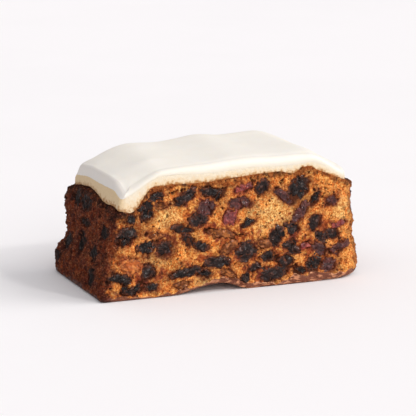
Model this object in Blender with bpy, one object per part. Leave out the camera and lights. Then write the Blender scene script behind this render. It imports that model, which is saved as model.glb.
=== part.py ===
"""An iced fruit cake: a cut bar of dark fruit cake under a sheet of marzipan and a sheet of white icing.

+X runs along the bar, -Y is the long cut face in front, +Z is up, and the origin is under the middle of the base.
"""

import math
import random
from collections import namedtuple

import bmesh
import bpy
from mathutils import Matrix, Vector, noise

MM = 0.001

# Driving dimensions, in millimetres.
HALF_LENGTH = 66.0
HALF_DEPTH = 34.0
CAKE_HEIGHT = 53.3
MARZIPAN_THICKNESS = 4.0
ICING_THICKNESS = 4.5
LAYER_GAP = 0.3

# How far the sheets of marzipan and icing reach from the middle of the bar.
SHEET_LEFT = 57.0
SHEET_RIGHT = 61.4
SHEET_FRONT = 32.3
SHEET_BACK = 31.4

# Radius of the upright corners, seen from above.
CORNER_RADIUS = {("left", "front"): 3.5, ("right", "front"): 14.0, ("left", "back"): 5.0, ("right", "back"): 11.0}
BASE_EDGE_RADIUS = 1.2
ICING_EDGE_RADIUS = 2.8

# Cells of the faceted surfaces along X, Y and Z.
CELLS_LONG = 26
CELLS_DEEP = 13
CELLS_HIGH = 12
CELLS_SHEET = 2
CELLS_ICING = 3

CRAG_DEPTH = 0.8
CRAG_SPACING = 8.5

# What a fruit measures where the photographed bar doesn't show it: (shortest, longest) and how round it is.
FRUIT_PROUD = 0.7
FRUIT_SUNK = 1.8
FRUIT_SCATTER_SEED = 11
FRUIT_ON_BACK = 24
FRUIT_ON_RIGHT = 11
FRUIT_SPACE = 1.16

Fruit = namedtuple("Fruit", "kind across up length width turn")

# The fruit that shows on the front face: across and up are millimetres from the middle of the base edge,
# turn is in degrees, anticlockwise from level.
FRONT_FRUIT = [
    Fruit("currant", -51, 38, 5.1, 3.4, 90),
    Fruit("raisin", -43.5, 41, 10.8, 6.4, 77),
    Fruit("sultana", -36, 43, 6.4, 2.8, -9),
    Fruit("raisin", -39, 47.5, 6.7, 3.8, 10),
    Fruit("raisin", -24, 46, 11.2, 5.0, 36),
    Fruit("raisin", -53.5, 30, 10.0, 7.2, 10),
    Fruit("raisin", -43.5, 24, 10.1, 5.7, 5),
    Fruit("raisin", -35, 22.5, 7.8, 7.1, 57),
    Fruit("sultana", -39, 29, 6.4, 3.3, -5),
    Fruit("raisin", -26, 31, 10.5, 4.2, -10),
    Fruit("raisin", -22.5, 25.5, 8.1, 5.1, -51),
    Fruit("prune", -14, 40, 9.2, 7.6, 57),
    Fruit("raisin", -18, 34.5, 8.3, 5.8, 10),
    Fruit("raisin", -17, 22, 7.1, 5.1, -24),
    Fruit("peel", -51.5, 16, 10.0, 6.4, -24),
    Fruit("raisin", -57, 10.5, 12.0, 5.1, -20),
    Fruit("raisin", -43, 12, 7.3, 7.0, 57),
    Fruit("currant", -42, 5.5, 5.9, 3.3, -6),
    Fruit("raisin", -51, 4.2, 11.0, 3.9, 6),
    Fruit("raisin", -24.5, 10.5, 16.0, 4.4, 9),
    Fruit("sultana", -27, 5, 7.8, 3.4, 4),
    Fruit("raisin", -10.5, 47, 12.5, 4.7, -5),
    Fruit("cherry", 4.5, 48, 9.2, 4.5, 20),
    Fruit("prune", 2.5, 41, 10.9, 5.3, 5),
    Fruit("cherry", -2, 34.5, 8.8, 6.7, 57),
    Fruit("currant", 7.5, 31.5, 7.7, 3.0, 25),
    Fruit("raisin", 14, 47.5, 7.0, 6.7, 57),
    Fruit("prune", 25, 42, 10.4, 4.2, -41),
    Fruit("raisin", 32.5, 48.5, 13.6, 10.0, 52),
    Fruit("prune", 33.5, 34.5, 10.3, 4.2, 52),
    Fruit("raisin", 40.5, 40, 8.0, 3.7, 52),
    Fruit("prune", 50, 38.5, 5.4, 4.1, 25),
    Fruit("raisin", 21, 23.5, 10.4, 7.8, 74),
    Fruit("raisin", 28.5, 17.5, 9.5, 5.7, -37),
    Fruit("raisin", 29, 27.5, 7.4, 4.7, -23),
    Fruit("raisin", 40.5, 28.5, 8.5, 6.2, 63),
    Fruit("raisin", 44, 21.5, 8.0, 4.8, -41),
    Fruit("raisin", 50.5, 22, 8.0, 3.6, -32),
    Fruit("cherry", 53, 27, 6.6, 3.2, 9),
    Fruit("cherry", 43, 15.5, 9.4, 5.2, -41),
    Fruit("cherry", 35.5, 17, 6.8, 2.6, 24),
    Fruit("prune", 53, 15.5, 10.5, 4.1, 19),
    Fruit("raisin", 40, 8.5, 8.0, 6.6, 46),
    Fruit("sultana", 47.5, 7, 7.2, 6.0, 35),
    Fruit("sultana", 14.5, 20.5, 7.0, 3.7, -5),
    Fruit("raisin", 17, 14.5, 8.0, 5.6, 14),
    Fruit("raisin", 26, 11, 8.6, 7.0, 46),
    Fruit("raisin", 19, 5.6, 13.0, 6.4, 9),
    Fruit("raisin", 5.5, 17.5, 11.0, 8.4, 25),
    Fruit("sultana", -3, 20, 8.2, 5.4, 46),
    Fruit("raisin", 10, 9.5, 7.6, 4.6, 30),
    Fruit("raisin", 5, 5.2, 6.4, 4.6, 57),
    Fruit("raisin", -9, 14, 12.5, 4.8, -1),
    Fruit("raisin", -15, 9.5, 6.1, 3.3, -15),
    Fruit("sultana", -3.5, 8, 8.4, 4.0, -37),
    Fruit("currant", 33.5, 6, 5.2, 3.7, -5),
    Fruit("sultana", -7, 27.5, 12.2, 3.8, -10),
]

# The fruit that shows on the left end, seen from outside: across is positive towards the front.
LEFT_FRUIT = [
    Fruit("raisin", -13, 39.5, 11.5, 7.5, 10),
    Fruit("raisin", -1, 39.5, 12.0, 8.0, -8),
    Fruit("currant", -1.5, 30.5, 9.0, 4.0, 8),
    Fruit("raisin", -3, 20.5, 9.8, 9.0, 60),
    Fruit("raisin", -21, 16, 9.2, 7.8, 70),
    Fruit("raisin", 24, 30.5, 9.0, 6.8, 20),
    Fruit("raisin", 15, 18.5, 9.8, 8.0, 45),
    Fruit("raisin", 17.5, 8, 9.0, 6.0, 80),
    Fruit("currant", -27, 8.5, 6.4, 5.2, 30),
]

# Share of the scattered fruit that each kind takes, and its shortest and longest length and its roundness.
FRUIT_KINDS = {
    "raisin": (0.52, 7.5, 12.5, 0.62),
    "currant": (0.14, 4.0, 6.0, 0.72),
    "sultana": (0.12, 6.0, 9.0, 0.58),
    "prune": (0.10, 9.0, 12.0, 0.55),
    "cherry": (0.08, 7.0, 10.0, 0.62),
    "peel": (0.04, 6.0, 9.0, 0.60),
}

FINISHES = {
    "crumb": ((0.52, 0.235, 0.075, 1.0), 0.85),
    "browned": ((0.10, 0.035, 0.014, 1.0), 0.80),
    "raisin": ((0.016, 0.011, 0.011, 1.0), 0.40),
    "currant": ((0.012, 0.009, 0.010, 1.0), 0.45),
    "sultana": ((0.10, 0.036, 0.016, 1.0), 0.45),
    "prune": ((0.055, 0.014, 0.016, 1.0), 0.35),
    "cherry": ((0.20, 0.028, 0.026, 1.0), 0.30),
    "peel": ((0.46, 0.13, 0.032, 1.0), 0.45),
    "marzipan": ((0.80, 0.62, 0.36, 1.0), 0.75),
    "icing": ((0.86, 0.83, 0.76, 1.0), 0.45),
}
CAKE_FINISHES = ["crumb", "browned", "raisin", "currant", "sultana", "prune", "cherry", "peel"]


def smooth(low, high, value):
    """0 up to low, 1 from high on, and an S-shaped rise between."""
    t = min(max((value - low) / (high - low), 0.0), 1.0)
    return t * t * (3.0 - 2.0 * t)


def bell(middle, half_width, value):
    """1 at the middle, falling smoothly to 0 half a width away."""
    return 1.0 - smooth(0.0, half_width, abs(value - middle))


# The form of the bar, in millimetres.


def left_reach(y, z):
    """The left end leans in towards the top at the front, and stands on a step of crust at the back."""
    front = HALF_LENGTH + 0.6 - 0.185 * z
    back = HALF_LENGTH - 3.6 + 5.2 * (1.0 - smooth(9.0, 20.0, z)) - 4.6 * smooth(37.0, 48.0, z)
    return front + (back - front) * smooth(-HALF_DEPTH, 28.0, y)


def right_reach(z):
    """The right end stands nearly upright over a foot, with a shallow groove at two thirds of its height."""
    foot = 3.0 * smooth(7.0, 25.0, z)
    return HALF_LENGTH + 1.8 - foot - 1.0 * bell(34.5, 5.0, z) - 2.5 * smooth(46.0, 56.0, z)


def front_reach(z):
    """The cut face in front leans back a little over a lip of crust."""
    return HALF_DEPTH - 0.030 * z + 0.9 * (1.0 - smooth(0.5, 4.5, z))


def back_reach(z):
    return HALF_DEPTH - 0.048 * z


def behind(y):
    """0 at the front face and 1 at the back."""
    return smooth(-HALF_DEPTH, HALF_DEPTH, y)


def left_fall(x, y, start, stop):
    """How far the domed top has dropped towards the left end: at the corners most, and most steeply in front."""
    drop = 6.6 + 4.6 * smooth(18.0, 33.0, -y) + 3.4 * smooth(8.0, 32.0, y)
    return drop * (1.0 - smooth(start - 8.0 * behind(y), stop + 7.0 * behind(y), x))


def right_fall(x, y, drop):
    """The same towards the right end, which drops evenly from front to back."""
    return drop * smooth(38.0 - 4.0 * behind(y), 62.0, x)


def sheet_level(x, y):
    """Height of the marzipan's upper face."""
    rise = (1.0 + 0.5 * behind(y)) * smooth(-24.0, 6.0, x) + 0.7 * behind(y) * bell(5.0, 12.0, x)
    wave = 0.3 * math.cos((x - 4.0) / 5.6 + 0.02 * y) + 0.2 * math.cos(x / 13.0 + y / 9.0)
    level = CAKE_HEIGHT + MARZIPAN_THICKNESS - 1.0 - 0.4 * behind(y) + rise + wave
    return level - left_fall(x, y, -58.0, -35.0) - right_fall(x, y, 8.8)


def cake_level(x, y):
    """Height of the cake's top, which is less even than the sheets over it, above all at the cut face."""
    bumps = (2.4 * bell(36.4, 7.0, x) - 1.2 * bell(29.0, 7.0, x)) * (1.0 - behind(y))
    rise = 2.0 * smooth(-28.0, 16.0, x)
    level = CAKE_HEIGHT - 1.1 + rise + bumps + 0.8 * noise.noise(Vector((x, y, 0.0)) / 9.0)
    level -= left_fall(x, y, -52.0, -39.0) + right_fall(x, y, 7.6)
    return min(level, sheet_level(x, y) - 1.8)


def base_level(x, y):
    """Height of the underside: flat, but for an arch that a fold in the crust leaves at the front edge."""
    arch = 4.8 * smooth(-34.0, -6.0, x) * (1.0 - smooth(-5.0, 1.5, x))
    return arch * smooth(6.0, HALF_DEPTH, -y)


def in_plan(u, v, left, right, front, back):
    """The point of a rounded oblong for u and v from -1 to 1."""
    x = u * (right if u > 0 else left)
    y = v * (back if v > 0 else front)
    radius = CORNER_RADIUS["right" if u > 0 else "left", "back" if v > 0 else "front"]
    beyond_x = abs(x) - ((right if u > 0 else left) - radius)
    beyond_y = abs(y) - ((back if v > 0 else front) - radius)
    if beyond_x > 0.0 and beyond_y > 0.0:
        pull = max(beyond_x, beyond_y) / math.hypot(beyond_x, beyond_y)
        x -= math.copysign(beyond_x * (1.0 - pull), x)
        y -= math.copysign(beyond_y * (1.0 - pull), y)
    return x, y


def sheet_plan(u, v, inset=0.0):
    return in_plan(u, v, SHEET_LEFT - inset, SHEET_RIGHT - inset, SHEET_FRONT - inset, SHEET_BACK - inset)


def side_plan(u, v, z):
    """A point of the cake's side at height z, drawn in over the base's edge, which is rounder at the right end."""
    radius = BASE_EDGE_RADIUS + 3.0 * smooth(0.5, 1.0, u)
    inset = radius - math.sqrt(radius**2 - max(radius - z, 0.0) ** 2)
    left = left_reach(v * HALF_DEPTH, z) - inset
    return in_plan(u, v, left, right_reach(z) - inset, front_reach(z) - inset, back_reach(z) - inset)


def crag(point):
    """How far the torn crumb stands in or out at a point."""
    return CRAG_DEPTH * noise.noise(point / CRAG_SPACING, noise_basis="PERLIN_ORIGINAL")


# Placing a point for u and v from -1 to 1 and w from 0 at the bottom to 1 at the top.


def place_cake(u, v, w):
    if w > 0.999:
        x, y = sheet_plan(u, v)
        return Vector((x, y, cake_level(x, y)))
    x, y = sheet_plan(u, v)
    base = base_level(x * HALF_LENGTH / SHEET_LEFT, y)
    z = base + (cake_level(x, y) - base) * (w - 0.5 * math.sin(2.0 * math.pi * w) / (2.0 * math.pi))
    x, y = side_plan(u, v, z - base)
    point = Vector((x, y, z))
    outward = Vector((x, y * HALF_LENGTH / HALF_DEPTH, 0.0)).normalized()
    return point + outward * crag(point) * smooth(0.0, 2.0, z - base)


def place_marzipan(u, v, w):
    bulge = -0.4 * math.sin(math.pi * w)
    x, y = sheet_plan(u, v, bulge)
    low = cake_level(*sheet_plan(u, v)) + LAYER_GAP
    high = sheet_level(*sheet_plan(u, v))
    return Vector((x, y, low + (high - low) * w))


def place_icing(u, v, w):
    """The icing's rim rolls over from the side to the top."""
    straight = 1.0 - ICING_EDGE_RADIUS / ICING_THICKNESS
    turn = max(w - straight, 0.0) / (1.0 - straight)
    inset = ICING_EDGE_RADIUS * (1.0 - math.sqrt(1.0 - turn**2)) * 0.8
    x, y = sheet_plan(u, v, inset)
    level = sheet_level(*sheet_plan(u, v)) + LAYER_GAP
    return Vector((x, y, level + ICING_THICKNESS * w - 0.5 * smooth(0.9, 1.0, max(abs(u), abs(v))) * w))


# Building.


def clear_scene():
    for thing in list(bpy.data.objects):
        bpy.data.objects.remove(thing)


def new_collection(name):
    collection = bpy.data.collections.new(name)
    bpy.context.scene.collection.children.link(collection)
    return collection


def move_to(thing, collection):
    for holder in list(thing.users_collection):
        holder.objects.unlink(thing)
    collection.objects.link(thing)
    return thing


def finish(name):
    """A Principled material for one of FINISHES."""
    known = bpy.data.materials.get(name)
    if known:
        return known
    colour, roughness = FINISHES[name]
    material = bpy.data.materials.new(name)
    material.use_nodes = True
    material.diffuse_color = colour
    shader = material.node_tree.nodes["Principled BSDF"]
    shader.inputs["Base Color"].default_value = colour
    shader.inputs["Roughness"].default_value = roughness
    shader.inputs["Metallic"].default_value = 0.0
    return material


def block(name, cells, place, finishes):
    """A cube cut into cells along X, Y and Z, with each point moved to where place puts it.

    Every cell is halved along the same diagonal, so that the layers fit over each other.
    """
    bpy.ops.mesh.primitive_cube_add(size=2.0)
    thing = bpy.context.object
    thing.name = thing.data.name = name
    mesh = bmesh.new()
    mesh.from_mesh(thing.data)
    for axis, count in enumerate(cells):
        along = [
            edge
            for edge in mesh.edges
            if abs(abs((edge.verts[1].co - edge.verts[0].co).normalized()[axis]) - 1.0) < 0.001
        ]
        bmesh.ops.subdivide_edges(mesh, edges=along, cuts=count - 1, use_grid_fill=True)
    for face in list(mesh.faces):
        corners = sorted(face.verts, key=lambda vertex: sum(vertex.co))
        bmesh.utils.face_split(face, corners[0], corners[-1])
    for vertex in mesh.verts:
        u, v, w = vertex.co
        vertex.co = place(u, v, (w + 1.0) / 2.0) * MM
    mesh.to_mesh(thing.data)
    mesh.free()
    for each in finishes:
        thing.data.materials.append(finish(each))
    thing.data.shade_smooth()
    thing.data.set_sharp_from_angle(angle=math.radians(40.0))
    return thing


def on_front(across, up):
    """The point of the front face there, its outward direction and its direction across."""
    return Vector((across, -front_reach(up), up)), Vector((0, -1, 0)), Vector((1, 0, 0))


def on_back(across, up):
    return Vector((-across, back_reach(up), up)), Vector((0, 1, 0)), Vector((-1, 0, 0))


def on_left(across, up):
    return Vector((-left_reach(-across, up), -across, up)), Vector((-1, 0, 0.15)).normalized(), Vector((0, -1, 0))


def on_right(across, up):
    return Vector((right_reach(up), across, up)), Vector((1, 0, 0.08)).normalized(), Vector((0, 1, 0))


def highest_place(fruit, where, level):
    """How high up its face a fruit may sit and still be clear of the marzipan."""
    turn = math.radians(fruit.turn)
    half_height = math.hypot(fruit.length * math.sin(turn), fruit.width * math.cos(turn)) / 2.0
    half_span = math.hypot(fruit.length * math.cos(turn), fruit.width * math.sin(turn)) / 2.0
    ends = [where + level * half_span * side for side in (-1.0, -0.5, 0.0, 0.5, 1.0)]
    return min(cake_level(end.x * SHEET_LEFT / HALF_LENGTH, end.y) for end in ends) - 1.1 - 1.1 * half_height


def lump(fruit, on_face, number):
    """One fruit set into a face, standing a little proud of it and clear of the marzipan."""
    where, outward, level = on_face(fruit.across, fruit.up)
    up = min(fruit.up, highest_place(fruit, where, level))
    where, outward, level = on_face(fruit.across, up)
    thickness = FRUIT_PROUD + FRUIT_SUNK
    bpy.ops.mesh.primitive_ico_sphere_add(subdivisions=1 if fruit.length < 5.5 else 2, radius=0.5)
    thing = bpy.context.object
    thing.name = f"fruit_{number:02d}"
    for vertex in thing.data.vertices:
        vertex.co *= 1.0 + 0.22 * noise.noise(vertex.co * 2.4 + Vector((number * 3.1, 0, 0)))
    upward = outward.cross(level)
    turn = math.radians(fruit.turn)
    along = level * math.cos(turn) + upward * math.sin(turn)
    across = outward.cross(along)
    frame = Matrix((along, across, outward)).transposed().to_4x4()
    centre = where + outward * (FRUIT_PROUD + crag(where) - thickness / 2.0)
    size = Matrix.Diagonal((fruit.length, fruit.width, thickness, 1.0))
    thing.data.transform(Matrix.Scale(MM, 4) @ Matrix.Translation(centre) @ frame @ size)
    for each in CAKE_FINISHES:
        thing.data.materials.append(finish(each))
    for face in thing.data.polygons:
        face.material_index = CAKE_FINISHES.index(fruit.kind)
    return thing


def scattered(draw, count, half_width, low, top_of):
    """Fruit spread over a face that the photograph doesn't show, none of it touching another."""
    kept = []
    kinds, shares = zip(*((kind, facts[0]) for kind, facts in FRUIT_KINDS.items()))
    for _ in range(4000):
        if len(kept) == count:
            break
        kind = draw.choices(kinds, shares)[0]
        _, shortest, longest, roundness = FRUIT_KINDS[kind]
        length = draw.uniform(shortest, longest)
        across = draw.uniform(-half_width, half_width)
        up = draw.uniform(low, top_of(across) - length / 2.0)
        width = length * roundness * draw.uniform(0.85, 1.15)
        fruit = Fruit(kind, across, up, length, width, draw.uniform(-70.0, 70.0))
        if all(
            math.hypot(across - other.across, up - other.up) > FRUIT_SPACE * (length + other.length) / 2.0
            for other in kept
        ):
            kept.append(fruit)
    return kept


def fruit_on_faces():
    """Every fruit with the face that it is on."""
    draw = random.Random(FRUIT_SCATTER_SEED)
    back = scattered(draw, FRUIT_ON_BACK, 53.0, 6.0, lambda across: cake_level(-across, SHEET_BACK) - 1.5)
    right = scattered(draw, FRUIT_ON_RIGHT, 25.0, 6.0, lambda across: cake_level(SHEET_RIGHT, across) - 1.5)
    faces = ((on_front, FRONT_FRUIT), (on_left, LEFT_FRUIT), (on_back, back), (on_right, right))
    return [(fruit, on_face) for on_face, row in faces for fruit in row]


def brown_the_ends(thing):
    """The two ends and the underside are baked brown: their crumb faces take the browned finish."""
    crumb, browned = CAKE_FINISHES.index("crumb"), CAKE_FINISHES.index("browned")
    for face in thing.data.polygons:
        if face.material_index == crumb and (abs(face.normal.x) > 0.6 or face.normal.z < -0.6):
            face.material_index = browned


def fruit_cake():
    """The bar with its fruit, joined into one solid."""
    cake = block("fruit_cake", (CELLS_LONG, CELLS_DEEP, CELLS_HIGH), place_cake, CAKE_FINISHES)
    lumps = new_collection("fruit to join")
    for number, (fruit, on_face) in enumerate(fruit_on_faces()):
        move_to(lump(fruit, on_face, number), lumps)
    bpy.context.view_layer.objects.active = cake
    union = cake.modifiers.new("fruit", "BOOLEAN")
    union.operation = "UNION"
    union.operand_type = "COLLECTION"
    union.collection = lumps
    union.solver = "MANIFOLD"
    bpy.ops.object.modifier_apply(modifier=union.name)
    for thing in list(lumps.objects):
        bpy.data.objects.remove(thing)
    bpy.data.collections.remove(lumps)
    brown_the_ends(cake)
    return cake


def centre_on_base(things):
    """Moves the meshes together, so that the origin is under the middle of the whole."""
    corners = [vertex.co for thing in things for vertex in thing.data.vertices]
    low = Vector(min(corner[axis] for corner in corners) for axis in range(3))
    high = Vector(max(corner[axis] for corner in corners) for axis in range(3))
    shift = Matrix.Translation((-(low.x + high.x) / 2.0, -(low.y + high.y) / 2.0, -low.z))
    for thing in things:
        thing.data.transform(shift)


def main():
    clear_scene()
    parts = new_collection("iced fruit cake")
    cake = fruit_cake()
    marzipan = block("marzipan", (CELLS_LONG, CELLS_DEEP, CELLS_SHEET), place_marzipan, ["marzipan"])
    icing = block("icing", (CELLS_LONG, CELLS_DEEP, CELLS_ICING), place_icing, ["icing"])
    things = [cake, marzipan, icing]
    centre_on_base(things)
    for thing in things:
        move_to(thing, parts)


main()
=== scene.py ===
"""Looks of an iced fruit cake: torn crumb, dried fruit, a sheet of marzipan and a sheet of white icing.

Lengths are in millimetres, from the middle of the bar's base, until a mesh or a tree takes them in metres.
"""

import itertools
import logging
import math
import random
from dataclasses import dataclass, field, replace
from enum import Enum
from typing import Iterable, Sequence

import bpy
import numpy as np
from mathutils import Matrix, Vector, noise


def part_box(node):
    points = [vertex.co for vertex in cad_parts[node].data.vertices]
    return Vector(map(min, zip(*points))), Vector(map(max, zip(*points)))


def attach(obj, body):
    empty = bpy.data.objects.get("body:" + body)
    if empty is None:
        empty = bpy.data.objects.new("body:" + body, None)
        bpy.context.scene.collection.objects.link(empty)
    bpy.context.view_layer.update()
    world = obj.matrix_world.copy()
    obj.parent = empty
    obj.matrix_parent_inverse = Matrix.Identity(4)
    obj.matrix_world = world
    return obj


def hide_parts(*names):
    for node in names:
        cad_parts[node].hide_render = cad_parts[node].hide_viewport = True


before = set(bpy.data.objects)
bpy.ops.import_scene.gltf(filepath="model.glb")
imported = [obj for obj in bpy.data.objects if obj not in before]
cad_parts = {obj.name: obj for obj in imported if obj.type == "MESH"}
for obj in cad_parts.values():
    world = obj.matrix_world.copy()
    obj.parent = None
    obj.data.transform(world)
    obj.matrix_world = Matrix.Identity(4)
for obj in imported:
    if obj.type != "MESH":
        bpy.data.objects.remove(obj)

MM = 0.001
# Further out than this, a place along or across the bar is on one of its sides.
OUTER = 0.9999
Colour = tuple[float, float, float]
log = logging.getLogger("iced_fruit_cake")


class Side(Enum):
    """The four upright sides of the bar."""

    FRONT = "front"
    LEFT = "left"
    BACK = "back"
    RIGHT = "right"


class Kind(Enum):
    """The kinds of fruit in the crumb."""

    RAISIN = "raisin"
    CUT_RAISIN = "cut_raisin"
    CURRANT = "currant"
    SULTANA = "sultana"
    PRUNE = "prune"
    CHERRY = "cherry"
    PEEL = "peel"

    @property
    def piece_name(self) -> str:
        """The name of the piece that holds every fruit of this kind."""
        return f"{self.value[:-1]}ies" if self.value.endswith("y") else f"{self.value}s"


RAISIN, CUT, CURRANT, SULTANA, PRUNE, CHERRY, PEEL = Kind


def smooth(low: float, high: float, value: float) -> float:
    """0 up to low, 1 from high on, and an S-shaped rise between."""
    share = min(max((value - low) / (high - low), 0.0), 1.0)
    return share * share * (3.0 - 2.0 * share)


def fade(low: float, high: float, value: float) -> float:
    """1 up to low, 0 from high on, and an S-shaped fall between."""
    return 1.0 - smooth(low, high, value)


def smooth_all(low: float, high: float, values: np.ndarray) -> np.ndarray:
    """The rise of smooth for a whole array."""
    shares = np.clip((values - low) / (high - low), 0.0, 1.0)
    return shares * shares * (3.0 - 2.0 * shares)


def fade_all(low: float, high: float, values: np.ndarray) -> np.ndarray:
    """The fall of fade for a whole array."""
    return 1.0 - smooth_all(low, high, values)


def bell(middle: float, half_width: float, value: float) -> float:
    """1 at the middle, falling smoothly to 0 half a width away."""
    return fade(0.0, half_width, abs(value - middle))


@dataclass(frozen=True)
class BarForm:
    """The form of the whole bar: leaning sides, a domed top, an arched base and crags.

    In every method x is the place along the bar, y the place across it and z the height.
    """

    half_length: float = 66.0
    half_depth: float = 34.0
    cake_height: float = 53.3
    marzipan_thickness: float = 4.0
    icing_thickness: float = 4.5
    thinnest_marzipan: float = 1.8
    sheet_left: float = 57.0
    sheet_right: float = 61.4
    sheet_front: float = 32.3
    sheet_back: float = 31.4
    left_foot: float = 0.6
    left_inset: float = 3.6
    left_shoulder: float = 4.6
    left_lean: float = 0.185
    front_lean: float = 0.030
    back_lean: float = 0.048
    step_of_crust: float = 5.2
    front_lip: float = 0.9
    right_foot: float = 3.0
    right_bulge: float = 1.8
    right_shoulder: float = 2.5
    groove_height: float = 34.5
    groove_half_height: float = 5.0
    arch_height: float = 3.9
    base_edge_radius: float = 1.2
    crag_depth: float = 0.8
    crag_spacing: float = 8.5
    corner_radius: dict[tuple[Side, Side], float] = field(
        default_factory=lambda: {
            (Side.LEFT, Side.FRONT): 1.8,
            (Side.RIGHT, Side.FRONT): 14.0,
            (Side.LEFT, Side.BACK): 5.0,
            (Side.RIGHT, Side.BACK): 11.0,
        }
    )

    def left_reach(self, y: float, z: float) -> float:
        """How far out the left end lies: leaning in at the front, and over a step of crust at the back.

        Args:
            y: place across the bar.
            z: height.

        Returns:
            The distance from the bar's middle.
        """
        front = self.half_length + self.left_foot - self.left_lean * z
        step, shoulder = self.step_of_crust * fade(9.0, 20.0, z), self.left_shoulder * smooth(37.0, 48.0, z)
        back = self.half_length - self.left_inset + step - shoulder
        return front + (back - front) * smooth(-self.half_depth, 28.0, y)

    def right_reach(self, z: float) -> float:
        """The same for the right end, nearly upright over a foot, with a groove two thirds of the way up.

        Args:
            z: height.

        Returns:
            The distance from the bar's middle.
        """
        foot, shoulder = self.right_foot * smooth(7.0, 25.0, z), self.right_shoulder * smooth(46.0, 56.0, z)
        groove = bell(self.groove_height, self.groove_half_height, z)
        return self.half_length + self.right_bulge - foot - groove - shoulder

    def front_reach(self, z: float) -> float:
        """The same for the cut face in front, which leans back a little over a lip of crust."""
        return self.half_depth - self.front_lean * z + self.front_lip * fade(0.5, 4.5, z)

    def back_reach(self, z: float) -> float:
        """The same for the back, which leans in a little more."""
        return self.half_depth - self.back_lean * z

    def behind(self, y: float) -> float:
        """0 at the front face and 1 at the back."""
        return smooth(-self.half_depth, self.half_depth, y)

    def left_fall(self, x: float, y: float, dip: float, start: float, stop: float) -> float:
        """How far the domed top has dropped towards the left end, and dip more at the corner in front."""
        drop = 6.6 + dip * smooth(22.0, 35.0, -y) + 3.4 * smooth(8.0, 32.0, y)
        return drop * fade(start - 8.0 * self.behind(y), stop + 7.0 * self.behind(y), x)

    def right_fall(self, x: float, y: float, drop: float) -> float:
        """How far it has dropped towards the right end."""
        return drop * smooth(38.0 - 4.0 * self.behind(y), 62.0, x)

    def sheet_level(self, x: float, y: float) -> float:
        """Finds the marzipan's upper face.

        Args:
            x: place along the bar.
            y: place across it.

        Returns:
            Its height.
        """
        rise = (1.0 + 0.5 * self.behind(y)) * smooth(-24.0, 6.0, x)
        rise += 0.7 * self.behind(y) * bell(5.0, 12.0, x)
        wave = 0.3 * math.cos((x - 4.0) / 5.6 + 0.02 * y) + 0.2 * math.cos(x / 13.0 + y / 9.0)
        level = self.cake_height + self.marzipan_thickness - 1.0 - 0.4 * self.behind(y) + rise + wave
        return level - self.left_fall(x, y, 3.4, -58.0, -35.0) - self.right_fall(x, y, 8.8)

    def cake_level(self, x: float, y: float) -> float:
        """Finds the cake's top, which is less even than the sheets over it.

        Args:
            x: place along the bar.
            y: place across it.

        Returns:
            Its height.
        """
        bumps = (2.4 * bell(36.4, 7.0, x) - 1.2 * bell(29.0, 7.0, x)) * (1.0 - self.behind(y))
        level = self.cake_height - 1.1 + 2.0 * smooth(-28.0, 16.0, x) + bumps
        level += 0.8 * noise.noise(Vector((x, y, 0.0)) / 9.0)
        level -= self.left_fall(x, y, 4.6, -52.0, -39.0) + self.right_fall(x, y, 7.6)
        level -= 3.0 * (smooth(4.0, 15.0, -y) - smooth(22.0, 35.0, -y)) * fade(-57.0, -44.0, x)
        level += (0.8 * fade(-57.0, -50.0, x) - 0.9 * bell(-48.0, 8.0, x)) * smooth(18.0, 32.0, -y)
        return min(level, self.sheet_level(x, y) - self.thinnest_marzipan)

    def base_level(self, x: float, y: float) -> float:
        """Height of the underside: flat, but for the arch that a fold in the crust leaves at the front."""
        arch = self.arch_height * smooth(-34.0, -8.0, x) * fade(-7.0, 8.0, x)
        return arch * smooth(6.0, self.half_depth, -y)

    def crag(self, point: Vector) -> float:
        """How far the torn crumb stands in or out at a point."""
        return self.crag_depth * noise.noise(point / self.crag_spacing, noise_basis="PERLIN_ORIGINAL")

    def in_plan(self, u: float, v: float, reach: Iterable[float]) -> tuple[float, float]:
        """Finds a point of a rounded oblong.

        Args:
            u: place along the bar, from -1 to 1.
            v: place across it, from -1 to 1.
            reach: how far the left, right, front and back lie from the middle.

        Returns:
            The point's x and y.
        """
        left, right, front, back = reach
        end_x, end_y = (right if u > 0 else left), (back if v > 0 else front)
        x, y = u * end_x, v * end_y
        corner = (Side.RIGHT if u > 0 else Side.LEFT, Side.BACK if v > 0 else Side.FRONT)
        radius = self.corner_radius[corner]
        beyond_x, beyond_y = abs(x) - (end_x - radius), abs(y) - (end_y - radius)
        if beyond_x > 0.0 and beyond_y > 0.0:
            pull = max(beyond_x, beyond_y) / math.hypot(beyond_x, beyond_y)
            x -= math.copysign(beyond_x * (1.0 - pull), x)
            y -= math.copysign(beyond_y * (1.0 - pull), y)
        return x, y

    def sheet_plan(self, u: float, v: float, inset: float = 0.0) -> tuple[float, float]:
        """Finds a point of the outline that the marzipan and the icing share.

        Args:
            u: place along the bar, from -1 to 1.
            v: place across it, from -1 to 1.
            inset: how far inside the outline it lies.

        Returns:
            The point's x and y.
        """
        reach = (self.sheet_left, self.sheet_right, self.sheet_front, self.sheet_back)
        x, y = self.in_plan(u, v, (side - inset for side in reach))
        return x + 1.2 * fade(-1.0, -0.85, u) * smooth(0.3, 1.0, -v), y

    def side_plan(self, u: float, v: float, z: float) -> tuple[float, float]:
        """Finds a point of the cake's side, drawn in over the base's rounded edge.

        Args:
            u: place along the bar, from -1 to 1.
            v: place across it, from -1 to 1.
            z: height over the base.

        Returns:
            The point's x and y.
        """
        radius = self.base_edge_radius + 3.0 * smooth(0.5, 1.0, u)
        inset = radius - math.sqrt(radius**2 - max(radius - z, 0.0) ** 2)
        left = self.left_reach(v * self.half_depth, z)
        reach = (left, self.right_reach(z), self.front_reach(z), self.back_reach(z))
        return self.in_plan(u, v, (side - inset for side in reach))

    def shift(self) -> Vector:
        """From this form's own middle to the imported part's origin."""
        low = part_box("icing")[0] / MM
        return Vector((low.x + self.sheet_left, low.y + self.sheet_front, 0.0))


FORM = BarForm()
SHIFT = FORM.shift()


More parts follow.
